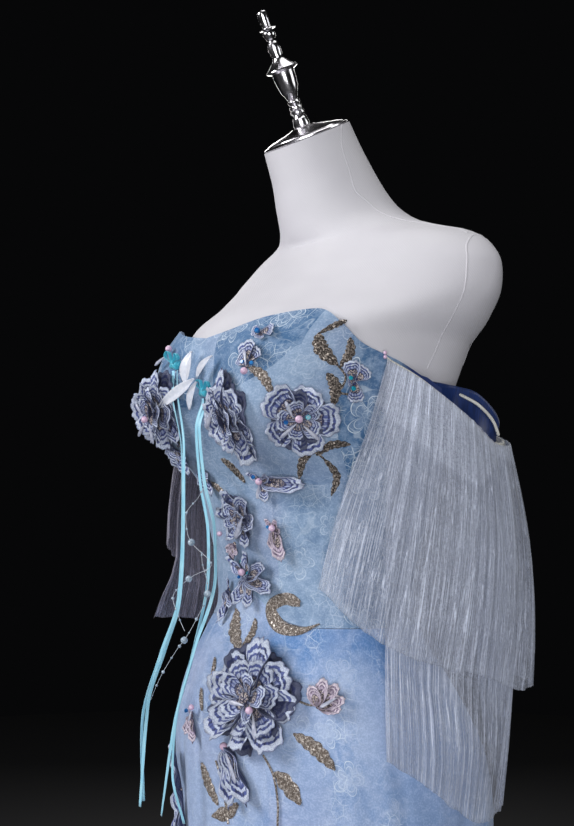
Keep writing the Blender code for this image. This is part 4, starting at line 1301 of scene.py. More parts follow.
def satin_edge(angle, height):
    """Where the top of the bodice is bound in navy satin, at the sides and the back."""
    aside = np.abs(wrapped(angle))
    below = height - np.interp(aside, TOP_EDGE["angle"], TOP_EDGE["height"])
    return ease_in(aside, 79, 84) * ease_in(below, -0.031, -0.029)


def bodice_height(angle, row):
    seam = smooth(BAND_SEAM["angle"], BAND_SEAM["height"], abs(wrapped(angle)))
    stops = [(0, waist_height(angle)), (4, UNDERBUST), (7, seam), (9, top_height(angle))]
    return float(np.interp(row, *zip(*stops)))


# Each bodice panel's columns and rows, the depth of its blue, its share of lace, its flat size and flat area
BODICE = {
    "bodice_centre_front": ((-3, 3), (0, 9), 0.22, 0.45, (0.112, 0.270), 0.0212),
    "bodice_cup": ((1, 8), (4, 9), 0.14, 0.30, (0.150, 0.160), 0.0169),
    "bodice_cup_band": ((1, 6), (7, 9), 0.88, 0.90, (0.100, 0.085), 0.0076),
    "bodice_side_front": ((3, 8), (0, 4), 0.16, 0.60, (0.090, 0.148), 0.0112),
    "bodice_side": ((8, 15), (0, 9), 0.82, 0.95, (0.137, 0.270), 0.0299),
    "bodice_back": ((15, 24), (0, 9), 0.50, 0.80, (0.165, 0.245), 0.0353),
}


def centre_gone(angle, row):
    return row > 4 and abs(angle) > COLUMN


def cup_gone(angle, row):
    return row > 7 and abs(angle) < 6 * COLUMN


def make_bodice(materials):
    gone = {"bodice_centre_front": centre_gone, "bodice_cup": cup_gone}
    for panel, (columns, rows, deep, lace, flat, area) in BODICE.items():
        for side in ("",) if panel == "bodice_centre_front" else ("_left", "_right"):
            low, high = (COLUMN * c for c in columns)
            span = (-high, -low) if side == "_right" else (low, high)
            name = panel + side

            def depth(angle, height):
                shade = 0.35 * ease_in(np.abs(angle), 52, 66) * (1 if "cup" in panel else 0)
                return deep + shade + 0.18 * bell(height - UNDERBUST, 0.02)

            def lace_share(angle, height):
                return lace + 0.25 * ease_in(np.abs(angle), 50, 60)

            obj = cloth(
                name + "_tulle", name, span, rows, bodice_height, BODICE_WALL,
                5 * (columns[1] - columns[0]), 9 * (rows[1] - rows[0]), materials["bodice"], "bodice_tulle",
                depth, lace_share, crinkled, gone.get(panel),
            )


# Long soft folds of the skirt: from (start, top) down to bottom, drifting round by some degrees
SKIRT_FOLDS = table(
    "start top bottom drift wide deep",
    (-24, 0.99, 0.62, 4, 0.007, -0.0016),
    (-16, 0.97, 0.55, 2, 0.006, 0.0013),
    (-9, 1.00, 0.60, 3, 0.006, -0.0014),
    (28, 0.99, 0.60, -3, 0.007, -0.0012),
    (37, 0.90, 0.50, 2, 0.007, 0.0012),
    (44, 0.88, 0.48, 3, 0.006, -0.0016),
    (52, 0.93, 0.50, 2, 0.008, 0.0014),
    (58, 0.90, 0.46, 4, 0.006, -0.0016),
    (66, 0.95, 0.52, 2, 0.007, 0.0013),
    (73, 0.99, 0.50, -2, 0.008, -0.0016),
    (86, 0.96, 0.48, 3, 0.009, 0.0015),
    (98, 0.99, 0.50, -4, 0.008, -0.0018),
    (112, 0.97, 0.46, 3, 0.009, 0.0014),
    (124, 0.98, 0.50, -2, 0.008, -0.0018),
    (140, 0.96, 0.45, 5, 0.010, 0.0016),
    (152, 0.99, 0.52, 2, 0.008, -0.0018),
    (168, 0.97, 0.48, -3, 0.009, -0.0015),
    (184, 0.96, 0.50, 4, 0.009, 0.0015),
    (198, 0.99, 0.46, -3, 0.008, -0.0018),
    (212, 0.95, 0.50, 4, 0.010, 0.0014),
    (226, 0.98, 0.48, 2, 0.008, -0.0017),
    (241, 0.96, 0.50, -4, 0.009, 0.0015),
    (255, 0.99, 0.46, 3, 0.008, -0.0016),
    (268, 0.94, 0.50, -3, 0.009, 0.0014),
    (282, 0.98, 0.48, 4, 0.008, -0.0016),
    (296, 0.95, 0.52, 2, 0.008, 0.0013),
    (308, 0.97, 0.46, -3, 0.007, -0.0015),
    (322, 0.96, 0.50, 3, 0.008, 0.0012),
    (14, 0.46, 0.00, -2, 0.012, -0.0040),
    (31, 0.44, 0.00, 3, 0.012, -0.0045),
    (61, 0.47, 0.00, -2, 0.013, -0.0040),
    (78, 0.42, 0.00, 3, 0.012, -0.0045),
    (104, 0.45, 0.00, 2, 0.014, -0.0040),
    (121, 0.43, 0.00, -3, 0.012, -0.0048),
    (149, 0.46, 0.00, 2, 0.013, -0.0042),
    (167, 0.42, 0.00, -2, 0.012, -0.0040),
    (193, 0.45, 0.00, 3, 0.013, -0.0046),
    (212, 0.43, 0.00, -2, 0.012, -0.0040),
    (238, 0.46, 0.00, 2, 0.014, -0.0045),
    (256, 0.42, 0.00, -3, 0.012, -0.0040),
    (283, 0.45, 0.00, 3, 0.013, -0.0044),
    (301, 0.43, 0.00, -2, 0.012, -0.0040),
    (329, 0.46, 0.00, 2, 0.013, -0.0045),
    (347, 0.43, 0.00, -2, 0.012, -0.0042),
)


def folded(angle, height):
    """How far the skirt's folds move the cloth out."""
    degree = np.radians(np.interp(height, GOWN["height"], GOWN["half_width"]))
    total = np.zeros(len(angle))
    for start, top, bottom, drift, wide, deep in zip(*SKIRT_FOLDS.values()):
        t = np.clip((top - height) / (top - bottom), 0, 1)
        path = start + drift * t + 0.6 * np.sin(6 * t + start)
        away = ((angle - path + 180) % 360 - 180) * degree
        ends = np.sin(np.pi * np.clip(t, 0, 1)) ** 0.7 if bottom else ease_in(t, 0, 0.6)
        total += deep * bell(away, wide) * ends
    return total


SKIRT = {
    "skirt_front": ((-22.5, 22.5), (0.330, 1.07), 0.193),
    "skirt_side_front_left": ((22.5, 75), (0.370, 1.03), 0.190),
    "skirt_side_back_left": ((75, 127.5), (0.370, 1.03), 0.2083),
    "skirt_back_left": ((127.5, 180), (0.400, 1.05), 0.2276),
    "skirt_side_front_right": ((-75, -22.5), (0.370, 1.03), 0.190),
    "skirt_side_back_right": ((-127.5, -75), (0.370, 1.03), 0.2083),
    "skirt_back_right": ((-180, -127.5), (0.400, 1.05), 0.2276),
}


def skirt_height(angle, row):
    return HEM_HEIGHT + row * (waist_height(angle) - SEAM_GAP - HEM_HEIGHT)


def skirt_depth(angle, height):
    aside = np.abs(wrapped(angle))
    waist = 0.70 * bell(height - 1.008, 0.024) * ease_in(aside, 8, 30)
    return 0.14 + waist + 0.30 * ease_in(aside, 58, 85) + 0.25 * ease_in(KNEE - height, 0, KNEE)


def skirt_lace(angle, height):
    patches = 0.35 + 0.35 * np.sin(0.13 * angle + 22 * height) + 0.3 * np.sin(0.31 * angle - 31 * height + 1)
    return np.clip(patches + 0.35 * ease_in(height, 0.93, 0.99), 0.05, 1)


def make_skirt(materials):
    for name, (span, flat, area) in SKIRT.items():
        obj = cloth(
            name + "_tulle", name, span, (0, 1), skirt_height, SKIRT_WALL, 36, 150,
            materials["skirt"], "skirt_tulle", skirt_depth, skirt_lace, folded,
        )


# The sleeves

PLEATS = 24
PLEAT_DEPTH_TOP = 0.0012
PLEAT_DEPTH_HEM = 0.0030

SLEEVE_TOP = table(
    "u x y z",
    (0.0, 0.160, -0.034, 1.279),
    (0.2, 0.187, -0.010, 1.257),
    (0.4, 0.212, 0.030, 1.219),
    (0.6, 0.214, 0.066, 1.197),
    (0.8, 0.178, 0.106, 1.205),
    (1.0, 0.105, 0.118, 1.236),
)

UPPER_HEM = table(
    "u x y z",
    (0.0, 0.101, -0.070, 1.060),
    (0.15, 0.150, -0.052, 1.022),
    (0.3, 0.192, -0.012, 0.994),
    (0.5, 0.222, 0.034, 0.981),
    (0.7, 0.226, 0.080, 0.966),
    (0.85, 0.180, 0.125, 0.966),
    (1.0, 0.110, 0.132, 0.980),
)

LOWER_HEM = table(
    "u x y z",
    (0.0, 0.168, -0.045, 0.905),
    (0.2, 0.190, -0.022, 0.888),
    (0.4, 0.207, 0.004, 0.862),
    (0.6, 0.212, 0.036, 0.846),
    (0.8, 0.194, 0.078, 0.850),
    (1.0, 0.130, 0.125, 0.885),
)

# The hems of the wearer's right sleeve, mirrored
RIGHT_UPPER_HEM = table(
    "u x y z",
    (0.0, 0.130, -0.097, 1.100),
    (0.15, 0.171, -0.072, 1.087),
    (0.3, 0.199, -0.019, 1.045),
    (0.5, 0.222, 0.034, 1.000),
    (0.7, 0.226, 0.080, 0.968),
    (0.85, 0.180, 0.125, 0.966),
    (1.0, 0.110, 0.132, 0.980),
)

RIGHT_LOWER_HEM = table(
    "u x y z",
    (0.0, 0.150, -0.105, 1.012),
    (0.2, 0.180, -0.057, 1.008),
    (0.4, 0.206, 0.002, 0.990),
    (0.6, 0.212, 0.036, 0.938),
    (0.8, 0.194, 0.078, 0.880),
    (1.0, 0.130, 0.125, 0.885),
)

HEMS = {
    ("upper", 1): UPPER_HEM,
    ("upper", -1): RIGHT_UPPER_HEM,
    ("lower", 1): LOWER_HEM,
    ("lower", -1): RIGHT_LOWER_HEM,
    ("band", 1): UPPER_HEM,
    ("band", -1): UPPER_HEM,
}
LAYER_INSET = {"upper": 0.0, "lower": 0.0042, "band": 0.0066}
LAYER_CLEAR = {"upper": (0.0070, 0.0150), "lower": (0.0028, 0.0060), "band": (0.0005, 0.0005)}
ARM_AXIS = Vector((0.06, 0.04))


def along(rows, u):
    return Vector([smooth(rows["u"], rows[c], u) for c in "xyz"])


def clear_of_gown(point, gap):
    """The point, moved out where it is nearer than gap to the gown's outer face."""
    centre = Vector((0, read(GOWN, "centre_y", point.z)))
    flat = Vector((point.x, point.y)) - centre
    turn = math.atan2(flat.x, -flat.y)
    found = []
    for k in range(-5, 6):
        surface = gown_inside(math.degrees(turn) + 3 * k, point.z)
        away = Vector((surface.x, surface.y)) - centre
        found.append((math.atan2(away.x, -away.y), away.length))
    reach = float(np.interp(turn, *zip(*found))) + BODICE_WALL + gap
    if flat.length < reach:
        flat = flat.normalized() * reach
    return Vector((centre.x + flat.x, centre.y + flat.y, point.z))


def round_arm(point):
    """(turn, reach) of a point about the sleeve's upright axis."""
    flat = Vector((point.x, point.y)) - ARM_AXIS
    return math.atan2(flat.x, -flat.y), flat.length


def from_arm(turn, reach, height):
    return Vector((ARM_AXIS.x + reach * math.sin(turn), ARM_AXIS.y - reach * math.cos(turn), height))


def sleeve_line(layer, side, u, v):
    point = along(SLEEVE_TOP, u).lerp(along(HEMS[layer, side], u), v)
    turn, reach = round_arm(point)
    return from_arm(turn, reach + 0.012 * math.sin(math.pi * v), point.z)


@functools.lru_cache(maxsize=None)
def upper_ends(side, u):
    return sleeve_line("upper", side, u, 0).z, sleeve_line("upper", side, u, 1).z


def upper_reach(side, point):
    """(reach, how far above its hem) of the upper layer at the height and turn of a point."""
    found = []
    for k in range(25):
        top, hem = upper_ends(side, k / 24)
        v = min(max((top - point.z) / (top - hem), 0), 1)
        turn, reach = round_arm(sleeve_line("upper", side, k / 24, v))
        found.append((turn, reach, point.z - hem))
    turns, reaches, above = zip(*sorted(found))
    turn = round_arm(point)[0]
    return float(np.interp(turn, turns, reaches)), float(np.interp(turn, turns, above))


def sleeve_smooth(layer, side, u, v):
    """A point of a sleeve's layer without its pleats; u runs from front to back, and v from top to hem."""
    point = sleeve_line(layer, side, u, v)
    turn, reach = round_arm(point)
    if layer == "lower":
        most, above = upper_reach(side, point)
        most -= LAYER_INSET["lower"] + 0.0065 * min(2 * v, 1)
        reach += min(most - reach, 0) * float(ease_in(above, -0.09, -0.01))
    elif layer == "band":
        reach -= LAYER_INSET["band"]
    near, far = LAYER_CLEAR[layer]
    return clear_of_gown(from_arm(turn, reach, point.z), near + (far - near) * float(ease_in(v, 0, 0.4)))


def sleeve_frames(layer, side, columns, rows):
    """Points and outward normals of the smooth sleeve on a grid."""
    points = np.array([[sleeve_smooth(layer, side, i / columns, j / rows) for j in range(rows + 1)]
                       for i in range(columns + 1)])
    across = np.gradient(points, axis=0)
    down = np.gradient(points, axis=1)
    normals = np.cross(down, across)
    return points, normals / np.linalg.norm(normals, axis=2, keepdims=True)


def between(grid, u, v):
    """The values of a grid at u and v, in proportion between its points."""
    columns, rows = grid.shape[0] - 1, grid.shape[1] - 1
    i = np.minimum((u * columns).astype(int), columns - 1)
    j = np.minimum((v * rows).astype(int), rows - 1)
    s, t = (u * columns - i)[:, None], (v * rows - j)[:, None]
    low = grid[i, j] * (1 - s) + grid[i + 1, j] * s
    high = grid[i, j + 1] * (1 - s) + grid[i + 1, j + 1] * s
    return low * (1 - t) + high * t


def crushed(u, v, seed):
    """The sleeve's pleats: the main ones that the solids have, and the fine crushed ones on them."""
    deep = PLEAT_DEPTH_TOP + (PLEAT_DEPTH_HEM - PLEAT_DEPTH_TOP) * v
    ridges = [uneven(i // 2, seed) * (1 if i % 2 else -0.4) for i in range(2 * PLEATS + 1)]
    main = np.interp(u * 2 * PLEATS, range(2 * PLEATS + 1), ridges)
    phase = 70 * u + 0.8 * np.sin(31 * u + seed) + 0.35 * np.sin(5 * v + 40 * u)
    fine = 0.5 + 0.5 * np.sin(math.tau * phase)
    crisp = 0.40 + 0.60 * np.sin(57 * u + 3 * seed + 2.2 * v)
    soft = 0.42 + 0.26 * np.sin(23 * u + 2 * seed)
    return deep * main * soft + (0.0005 + 0.0006 * v) * (fine - 0.5) * crisp


def make_sleeve_layer(layer, side, name, material):
    seed = 1 + (layer == "upper")
    obj, x, y = add_grid(f"sleeve_{layer}_{name}_net", 352, 44)
    u, v = (x if side > 0 else 1 - x), 1 - y
    points, normals = sleeve_frames(layer, side, 2 * PLEATS, 12)
    middle = between(points, u, v)
    out = crushed(u, v, seed)
    hem = 0.0010 * np.sin(29 * u + 2 * np.sin(17 * u)) * ease_in(v, 0.8, 1.0)
    placed = middle + between(normals, u, v) * (out + 0.0005)[:, None]
    placed[:, 2] += hem
    placed[:, 0] *= side
    set_points(obj, placed)
    set_uv(obj, u * 0.50, v * 0.28)
    fold = np.interp(u, (0, 0.15, 0.3, 0.42, 0.55, 1), (0.19, 0.22, 0.27, 0.25, 0.06, 0.10))
    dense = ease_in(fold - v, -0.006, 0.006) if layer == "upper" else 0.30 * ease_in(0.25 - v, 0, 0.2)
    dense = np.maximum(dense, 0.45 * bell(v - 0.945, 0.004))
    set_value(obj, "dense", dense)
    thicken(obj, 0.0003)
    finish(obj, material, "sleeve_tulle", f"sleeve_{layer}_{name}")


def make_sleeve_band(side, name, material):
    """The elastic that gathers the sleeve, ruched in small even folds."""
    obj, x, y = add_grid(f"sleeve_elastic_{name}", 240, 6)
    u, v = (x if side > 0 else 1 - x), y
    points, normals = sleeve_frames("band", side, 30, 1)
    middle, normal = between(points, u, u * 0), between(normals, u, u * 0)
    ruche = 0.0005 * np.abs(np.sin(np.pi * 62 * u)) + 0.0004 * np.sin(np.pi * v)
    placed = middle + normal * (0.0006 + ruche)[:, None]
    placed[:, 2] += 0.003 - 0.009 * (1 - v)
    placed[:, 0] *= side
    set_points(obj, placed)
    set_uv(obj, u * 0.24, v * 0.010)
    thicken(obj, 0.0006)
    finish(obj, material, "sleeve_tulle", f"sleeve_band_{name}")


def make_sleeves(materials):
    for side, name in ((1, "left"), (-1, "right")):
        # The far sleeve takes the darker copy of the net, with its painted shade
        net = materials["sleeve" if side > 0 else "sleeve_far"]
        make_sleeve_band(side, name, materials["cream"])
        for layer in ("lower", "upper"):
            make_sleeve_layer(layer, side, name, net)


# The loose navy edge behind the wearer's left sleeve, and the white hanging cord on it, as (x, y, z)
LOOSE_EDGE = (
    (0.152, 0.030, 1.262), (0.159, 0.045, 1.259), (0.162, 0.058, 1.257), (0.168, 0.077, 1.252),
    (0.172, 0.095, 1.238), (0.172, 0.106, 1.224), (0.167, 0.108, 1.210),
)
LOOSE_EDGE_SIZE = (0.115, 0.042)
CORD_RADIUS = 0.0016
HANGING_CORD = ((0.160, 0.060, 1.250), (0.167, 0.066, 1.2455), (0.174, 0.076, 1.238), (0.180, 0.088, 1.224),
                (0.181, 0.096, 1.208))


def make_loose_edge(material):
    long, high = LOOSE_EDGE_SIZE
    obj, u, v = add_grid("loose_back_edge", 48, 12)
    points = []
    for t, down in zip(u, 1 - v):
        top = through(LOOSE_EDGE, t)
        fold = 0.0024 * math.sin(19 * t + 1.5 * down) * down
        points.append((top[0] + fold - 0.006 * down, top[1] - 0.8 * fold, top[2] - high * down))
    set_points(obj, points)
    set_uv(obj, u * long, v * high)
    thicken(obj, 0.0006, 0)
    finish(obj, material, "bodice_tulle")


def make_hanging_cord(material):
    route = [tuple(float(c) for c in through(HANGING_CORD, k / 24)) for k in range(25)]
    cord, u, v = add_grid("hanging_cord", 8, 48)
    points = []
    for x, t in zip(u, v):
        middle = Vector(through(route, t))
        ahead = Vector(through(route, min(t + 0.02, 1)) - through(route, max(t - 0.02, 0))).normalized()
        side = ahead.cross(Vector((0.8, -0.6, 0))).normalized()
        turn = math.tau * x
        radius = CORD_RADIUS * math.sqrt(min(1, t / 0.03, (1 - t) / 0.03))
        points.append(middle + (side * math.cos(turn) + ahead.cross(side) * math.sin(turn)) * radius)
    set_points(cord, points)
    set_uv(cord, u * 0.010, v * 0.06)
    close_seam(cord)
    finish(cord, material, "ribbon")


# Embroidered petals and flowers

# One side of each kind of petal from its foot to its tip, for a petal one unit long; and its scallops
PETALS = {
    "fan": (((0.03, 0), (0.20, 0.22), (0.38, 0.48), (0.47, 0.70), (0.42, 0.88), (0.24, 0.985), (0, 1)), 9),
    "oval": (((0.04, 0), (0.15, 0.12), (0.23, 0.34), (0.25, 0.56), (0.21, 0.78), (0.12, 0.94), (0, 1)), 11),
}


def make_petal(kind):
    """One petal, one unit long: threads fan out from its foot at the origin to a scalloped rim."""
    side, scallops = PETALS[kind]
    outline = [(-x, y) for x, y in side] + list(side)[-2::-1]
    obj, u, v = add_grid("petal_" + kind, 32, 9)
    rim = np.array([through(outline, t) for t in u])
    out = 0.06 + 0.94 * v
    lobes = np.abs(np.sin(np.pi * scallops * u)) - 0.5
    out = out * (1 + 0.085 * lobes * ease_in(v, 0.55, 1.0))
    cord = 0.022 * ease_in(v, 0.78, 0.86) + 0.010 * bell(v - 0.50, 0.05)
    ruffle = 0.062 * np.sin(math.tau * (0.42 * scallops * u + 0.1)) * ease_in(v, 0.35, 1.0)
    ribs = 0.006 * np.cos(math.tau * 13 * u) * ease_in(v, 0.1, 0.4)
    set_points(obj, np.column_stack([rim * out[:, None], 0.12 * v * v + cord + ruffle + ribs]))
    set_value(obj, "band", v)
    set_value(obj, "fan", u)
    thicken(obj, 0.020)
    # The underside of each petal, which the embroidery darkens as painted shade
    set_value(obj, "under", np.arange(len(obj.data.vertices)) >= len(u))
    return obj


# Rings of petals, from the lowest: kind, petals, reach, width, foot and tip heights, curl, turn and painted
# shade
FLOWER_KINDS = {
    "cup": (
        ("fan", 5, 0.80, 1.00, 0.00, 0.15, 0.10, 0.5, 0.85),
        ("fan", 5, 1.02, 0.94, 0.10, 0.60, 0.30, 0.0, 0.00),
        ("fan", 5, 0.58, 0.90, 0.30, 0.85, 0.40, 0.5, 0.00),
    ),
    "bust": (
        ("fan", 7, 0.96, 0.84, 0.00, 0.16, 0.20, 0.5, 0.88),
        ("fan", 6, 1.02, 0.78, 0.08, 0.46, 0.60, 0.0, 0.00),
        ("fan", 6, 0.84, 0.74, 0.16, 0.70, 0.60, 0.5, 0.25),
        ("fan", 5, 0.62, 0.88, 0.34, 0.90, 0.60, 0.2, 0.00),
        ("fan", 3, 0.38, 1.05, 0.56, 1.00, 0.30, 0.6, 0.00),
    ),
    "hip": (
        ("fan", 7, 0.96, 0.80, 0.00, 0.12, 0.20, 0.5, 0.88),
        ("fan", 8, 1.04, 0.60, 0.06, 0.50, 0.60, 0.0, 0.00),
        ("fan", 7, 0.76, 0.66, 0.20, 0.74, 0.70, 0.5, 0.15),
        ("fan", 5, 0.50, 0.80, 0.36, 1.00, 0.60, 0.1, 0.00),
    ),
    "centre": (
        ("oval", 6, 1.04, 1.30, 0.05, 0.55, 0.35, 0.0, 0.15),
        ("fan", 5, 0.80, 0.95, 0.00, 0.30, 0.30, 0.5, 0.90),
        ("oval", 4, 0.60, 1.40, 0.40, 1.00, 0.30, 0.3, 0.00),
    ),
}

FLOWERS = table(
    "node kind angle height wide tall thick turn",
    ("flower_cup", "cup", 48.4, 1.222, 0.037, 0.037, 0.010, 18),
    ("flower_bust_left", "bust", 23.3, 1.224, 0.026, 0.046, 0.020, 0),
    ("flower_bust_right", "bust", -21.5, 1.236, 0.031, 0.045, 0.026, 10),
    ("flower_centre", "centre", 3.0, 1.127, 0.031, 0.030, 0.010, 40),
    ("flower_hip", "hip", 18.1, 0.952, 0.056, 0.055, 0.020, 5),
)

# Sprays: node, thread, angle, height, foot (across, up) and thickness in mm, kind of petal, and the petals as
# (direction clockwise from up, length in mm, width)
SPRAYS = (
    ("flower_neckline", "lilac", 28.5, 1.290, (-1, -20), 5, "fan",
     ((-45, 12, 1.2), (-5, 24, 0.9), (30, 20, 1.0))),
    ("flower_neckline", "lilac", 28.5, 1.290, (8, 15), 4, "fan",
     ((-80, 10, 1.2), (75, 13, 1.2), (180, 8, 1.2))),
    ("flower_cup_side", "lilac", 64.5, 1.250, (0, 8), 4, "fan",
     ((-15, 19, 0.9), (45, 17, 1.0), (175, 20, 0.9), (-100, 7, 1.3))),
    ("flower_underbust", "lilac", 25.5, 1.157, (-12, 8), 7, "oval",
     ((92, 50, 0.65), (175, 20, 1.1), (-55, 17, 1.1), (60, 14, 1.2))),
    ("bud_centre", "rose", 23.5, 1.110, (0, 6), 7, "oval",
     ((165, 30, 0.9), (195, 18, 0.9), (-30, 14, 1.0), (25, 13, 1.1), (90, 10, 1.1))),
    ("flower_star", "lilac", 3.6, 1.064, (0, 0), 8, "oval",
     ((-49, 34, 0.85), (11, 30, 0.9), (62, 36, 0.8), (100, 42, 0.7), (165, 28, 0.9), (215, 30, 0.9))),
    ("flower_hip_side", "rose", 50.3, 0.962, (-10, -12), 6, "oval",
     ((-25, 20, 1.2), (10, 26, 1.0), (42, 27, 1.0), (75, 26, 1.0), (98, 22, 1.1))),
    ("flower_bud_low", "lilac", 8.0, 0.866, (0, 40), 8, "oval",
     ((172, 56, 0.55), (148, 58, 0.55), (160, 46, 0.7), (188, 34, 0.6))),
    ("flower_hip_far", "rose", -12.2, 0.923, (0, 0), 6, "oval",
     ((200, 20, 0.9), (175, 18, 0.9), (150, 28, 0.7), (-20, 8, 1.4), (60, 10, 1.3))),
    ("flower_long_petals", "lilac", -21.9, 0.842, (0, 0), 8, "oval",
     ((0, 45, 0.5), (-15, 45, 0.5), (180, 60, 0.4), (165, 60, 0.4))),
    ("", "lilac", -27.0, 1.203, (0, 0), 9, "oval",
     ((200, 30, 1.0), (165, 36, 0.9), (125, 32, 0.9), (235, 20, 1.0), (90, 20, 1.0))),
    ("", "lilac", -14.0, 1.178, (0, 0), 6, "oval", ((205, 24, 1.0), (160, 28, 0.8), (120, 16, 1.0))),
    ("", "lilac", -13.0, 1.050, (0, 0), 5, "oval", ((185, 32, 0.7), (150, 20, 0.8), (20, 14, 0.9))),
    ("", "rose", -3.0, 1.100, (0, 0), 5, "oval", ((200, 18, 0.9), (240, 16, 1.0), (160, 12, 1.0))),
)


def lay_petal(master, foot, direction, length, width, scale, lifts, sway, tilt, shade, phase):
    """A copy of a petal, and its points about its flower, which scale stretches across and up."""
    part = copy_of(master, "petal")
    x, y, z = points_of(part).T
    cosine, sine = math.cos(math.radians(direction)), math.sin(math.radians(direction))
    reach = np.clip(y, 0, 1.1)
    lift = lifts[0] + (lifts[1] - lifts[0]) * reach ** 1.3 + sway * np.sin(3.4 * reach + phase) * reach
    lift = lift + tilt * x * width * length * sum(scale) / 2
    flat = np.column_stack([
        (x * width * cosine + y * sine) * length * scale[0] + foot[0],
        (y * cosine - x * width * sine) * length * scale[1] + foot[1],
        0.0008 + np.maximum(lift, 0) + z * length * 0.8 * sum(scale) / 2,
    ])
    set_value(part, "shade", shade)
    return part, flat


def heart(size, foot, out):
    """The small dome of metal thread in the middle of a flower."""
    dome = add_ball((0, 0, 0), 1.0, 14, 8)
    x, y, z = points_of(dome).T * size
    set_value(dome, "band", 0.32)
    return dome, np.column_stack([x + foot[0], y + foot[1], out + 0.6 * z])


def make_flower(node, kind, angle, height, wide, tall, thick, turn, masters, material):
    parts = []
    for ring, row in enumerate(FLOWER_KINDS[kind]):
        shape, count, reach, width, foot, tip, curl, half_turn, shade = row
        for k in range(count):
            length = reach * (0.93 + 0.09 * math.sin(2.4 * k + 1.7 * ring + 300 * thick))
            spin = turn + 360 * (k + half_turn + 0.10 * (uneven(k, ring + wide * 700) - 1)) / count
            lifts = (foot * thick, tip * thick * (0.8 + 0.2 * uneven(k, ring + 5)))
            sway = 0.35 * curl * thick
            tilt = 0.38 * math.sin(1.9 * k + 2.3 * ring)
            parts.append(lay_petal(
                masters[shape], (0, 0), spin, length, width, (wide, tall), lifts, sway, tilt, shade, k))
    parts.append(heart(0.10 * min(wide, tall), (0, 0), thick * 0.75))
    return set_parts(node + "_petals", seat(angle, height), parts, material, node)


def set_parts(name, place, parts, material, *nodes):
    for part, flat in parts:
        set_points(part, lay(flat, place))
    return finish(join(name, [part for part, _ in parts]), material, "petal_lace", *nodes)


def make_sprays(masters, materials):
    grouped = {}
    for node, thread, angle, height, foot, thick, shape, petals in SPRAYS:
        parts = grouped.setdefault((node, thread, angle, height), [])
        foot = (foot[0] / 1000, foot[1] / 1000)
        lifts = (0.0003 * thick, 0.00075 * thick)
        for k, (direction, length, width) in enumerate(petals):
            length /= 1000
            parts.append(lay_petal(
                masters[shape], foot, direction, length, width, (1, 1), lifts, 0.04 * length, 0.2, 0.0, k))
        parts.append(heart(0.0024, foot, 0.0004 * thick))
    for (node, thread, angle, height), parts in grouped.items():
        nodes = [node] if node else []
        set_parts((node or "small_spray") + "_petals", seat(angle, height), parts, materials[thread], *nodes)


USUAL_LOBES = 6

# Leaves in glitter thread: node it stands for, finish, half width, lobes (0 for the usual six), and its
# midrib as (angle, height) points
LEAVES = (
    ("leaf_neckline", "glitter", 0.0052, 0, ((30.2, 1.270), (36.2, 1.262), (40.5, 1.244))),
    ("leaf_cup_top", "glitter_dark", 0.0075, 0, ((48.7, 1.303), (51.5, 1.288), (58.0, 1.272))),
    ("leaf_under_cup", "glitter_dark", 0.0044, 0, ((50.0, 1.189), (56.8, 1.198), (64.0, 1.199))),
    ("leaf_side_front", "glitter_dark", 0.0038, 0, ((52.3, 1.186), (55.2, 1.169), (51.8, 1.150))),
    ("leaf_underbust", "glitter_dark", 0.0055, 0, ((1.8, 1.187), (6.0, 1.178), (10.4, 1.163))),
    ("leaf_waist_scroll", "glitter", 0.0062, 0, ((35.5, 1.043), (25.7, 1.047), (17.0, 1.036), (24.5, 1.0195),
                                                 (36.1, 1.0165), (47.0, 1.0235))),
    ("leaf_waist", "glitter", 0.0088, 0, ((-6.5, 1.031), (-2.0, 1.012), (6.4, 0.993))),
    ("leaf_hip", "glitter", 0.0068, 0, ((34.8, 0.926), (42.5, 0.914), (48.4, 0.896))),
    ("leaf_low", "glitter", 0.0088, 3, ((26.2, 0.889), (30.5, 0.878), (34.6, 0.862))),
    ("", "glitter_dark", 0.0030, 0, ((55.0, 1.3150), (52.5, 1.311), (48.7, 1.302))),
    ("", "glitter_dark", 0.0050, 0, ((59.3, 1.299), (60.8, 1.285), (58.7, 1.270))),
    ("", "glitter_dark", 0.0062, 0, ((55.1, 1.265), (58.6, 1.252), (58.8, 1.234))),
    ("", "glitter_dark", 0.0042, 0, ((48.5, 1.190), (43.8, 1.184), (38.0, 1.166))),
    ("", "glitter", 0.0042, 0, ((-14.0, 1.163), (-8.0, 1.157), (-2.0, 1.146))),
    ("", "glitter", 0.0036, 0, ((-0.8, 1.145), (4.0, 1.142), (8.0, 1.134))),
    ("", "glitter", 0.0048, 0, ((8.6, 1.024), (9.8, 1.010), (6.8, 0.995))),
    ("", "glitter", 0.0030, 0, ((-7.0, 0.983), (-5.5, 0.974), (-4.8, 0.963))),
    ("", "glitter", 0.0030, 0, ((-9.8, 0.952), (-8.5, 0.942), (-6.3, 0.931))),
    ("", "glitter", 0.0080, 0, ((-6.0, 0.880), (-3.5, 0.862), (1.0, 0.843))),
    ("", "glitter", 0.0072, 3, ((-1.5, 0.830), (4.5, 0.838), (10.2, 0.851))),
    ("", "glitter_dark", 0.0052, 0, ((-15.0, 1.222), (-18.5, 1.212), (-22.0, 1.200))),
    ("", "glitter", 0.0060, 0, ((25.4, 0.806), (23.0, 0.795), (24.0, 0.776))),
)

STEMS = (
    ("glitter_dark", ((58.0, 1.272), (61.2, 1.262), (60.8, 1.252), (59.6, 1.247), (63.6, 1.245))),
    ("glitter_dark", ((48.5, 1.190), (50.5, 1.191), (52.3, 1.186))),
    ("glitter", ((22.2, 0.903), (24.6, 0.892), (25.8, 0.881), (26.2, 0.860), (25.5, 0.838), (25.4, 0.806))),
    ("glitter", ((1.1, 0.887), (3.4, 0.868), (4.5, 0.845), (5.4, 0.828))),
    ("glitter", ((36.0, 0.956), (42.0, 0.952), (46.8, 0.955))),
    ("glitter", ((-5.5, 0.962), (-2.0, 0.955), (3.0, 0.958))),
)


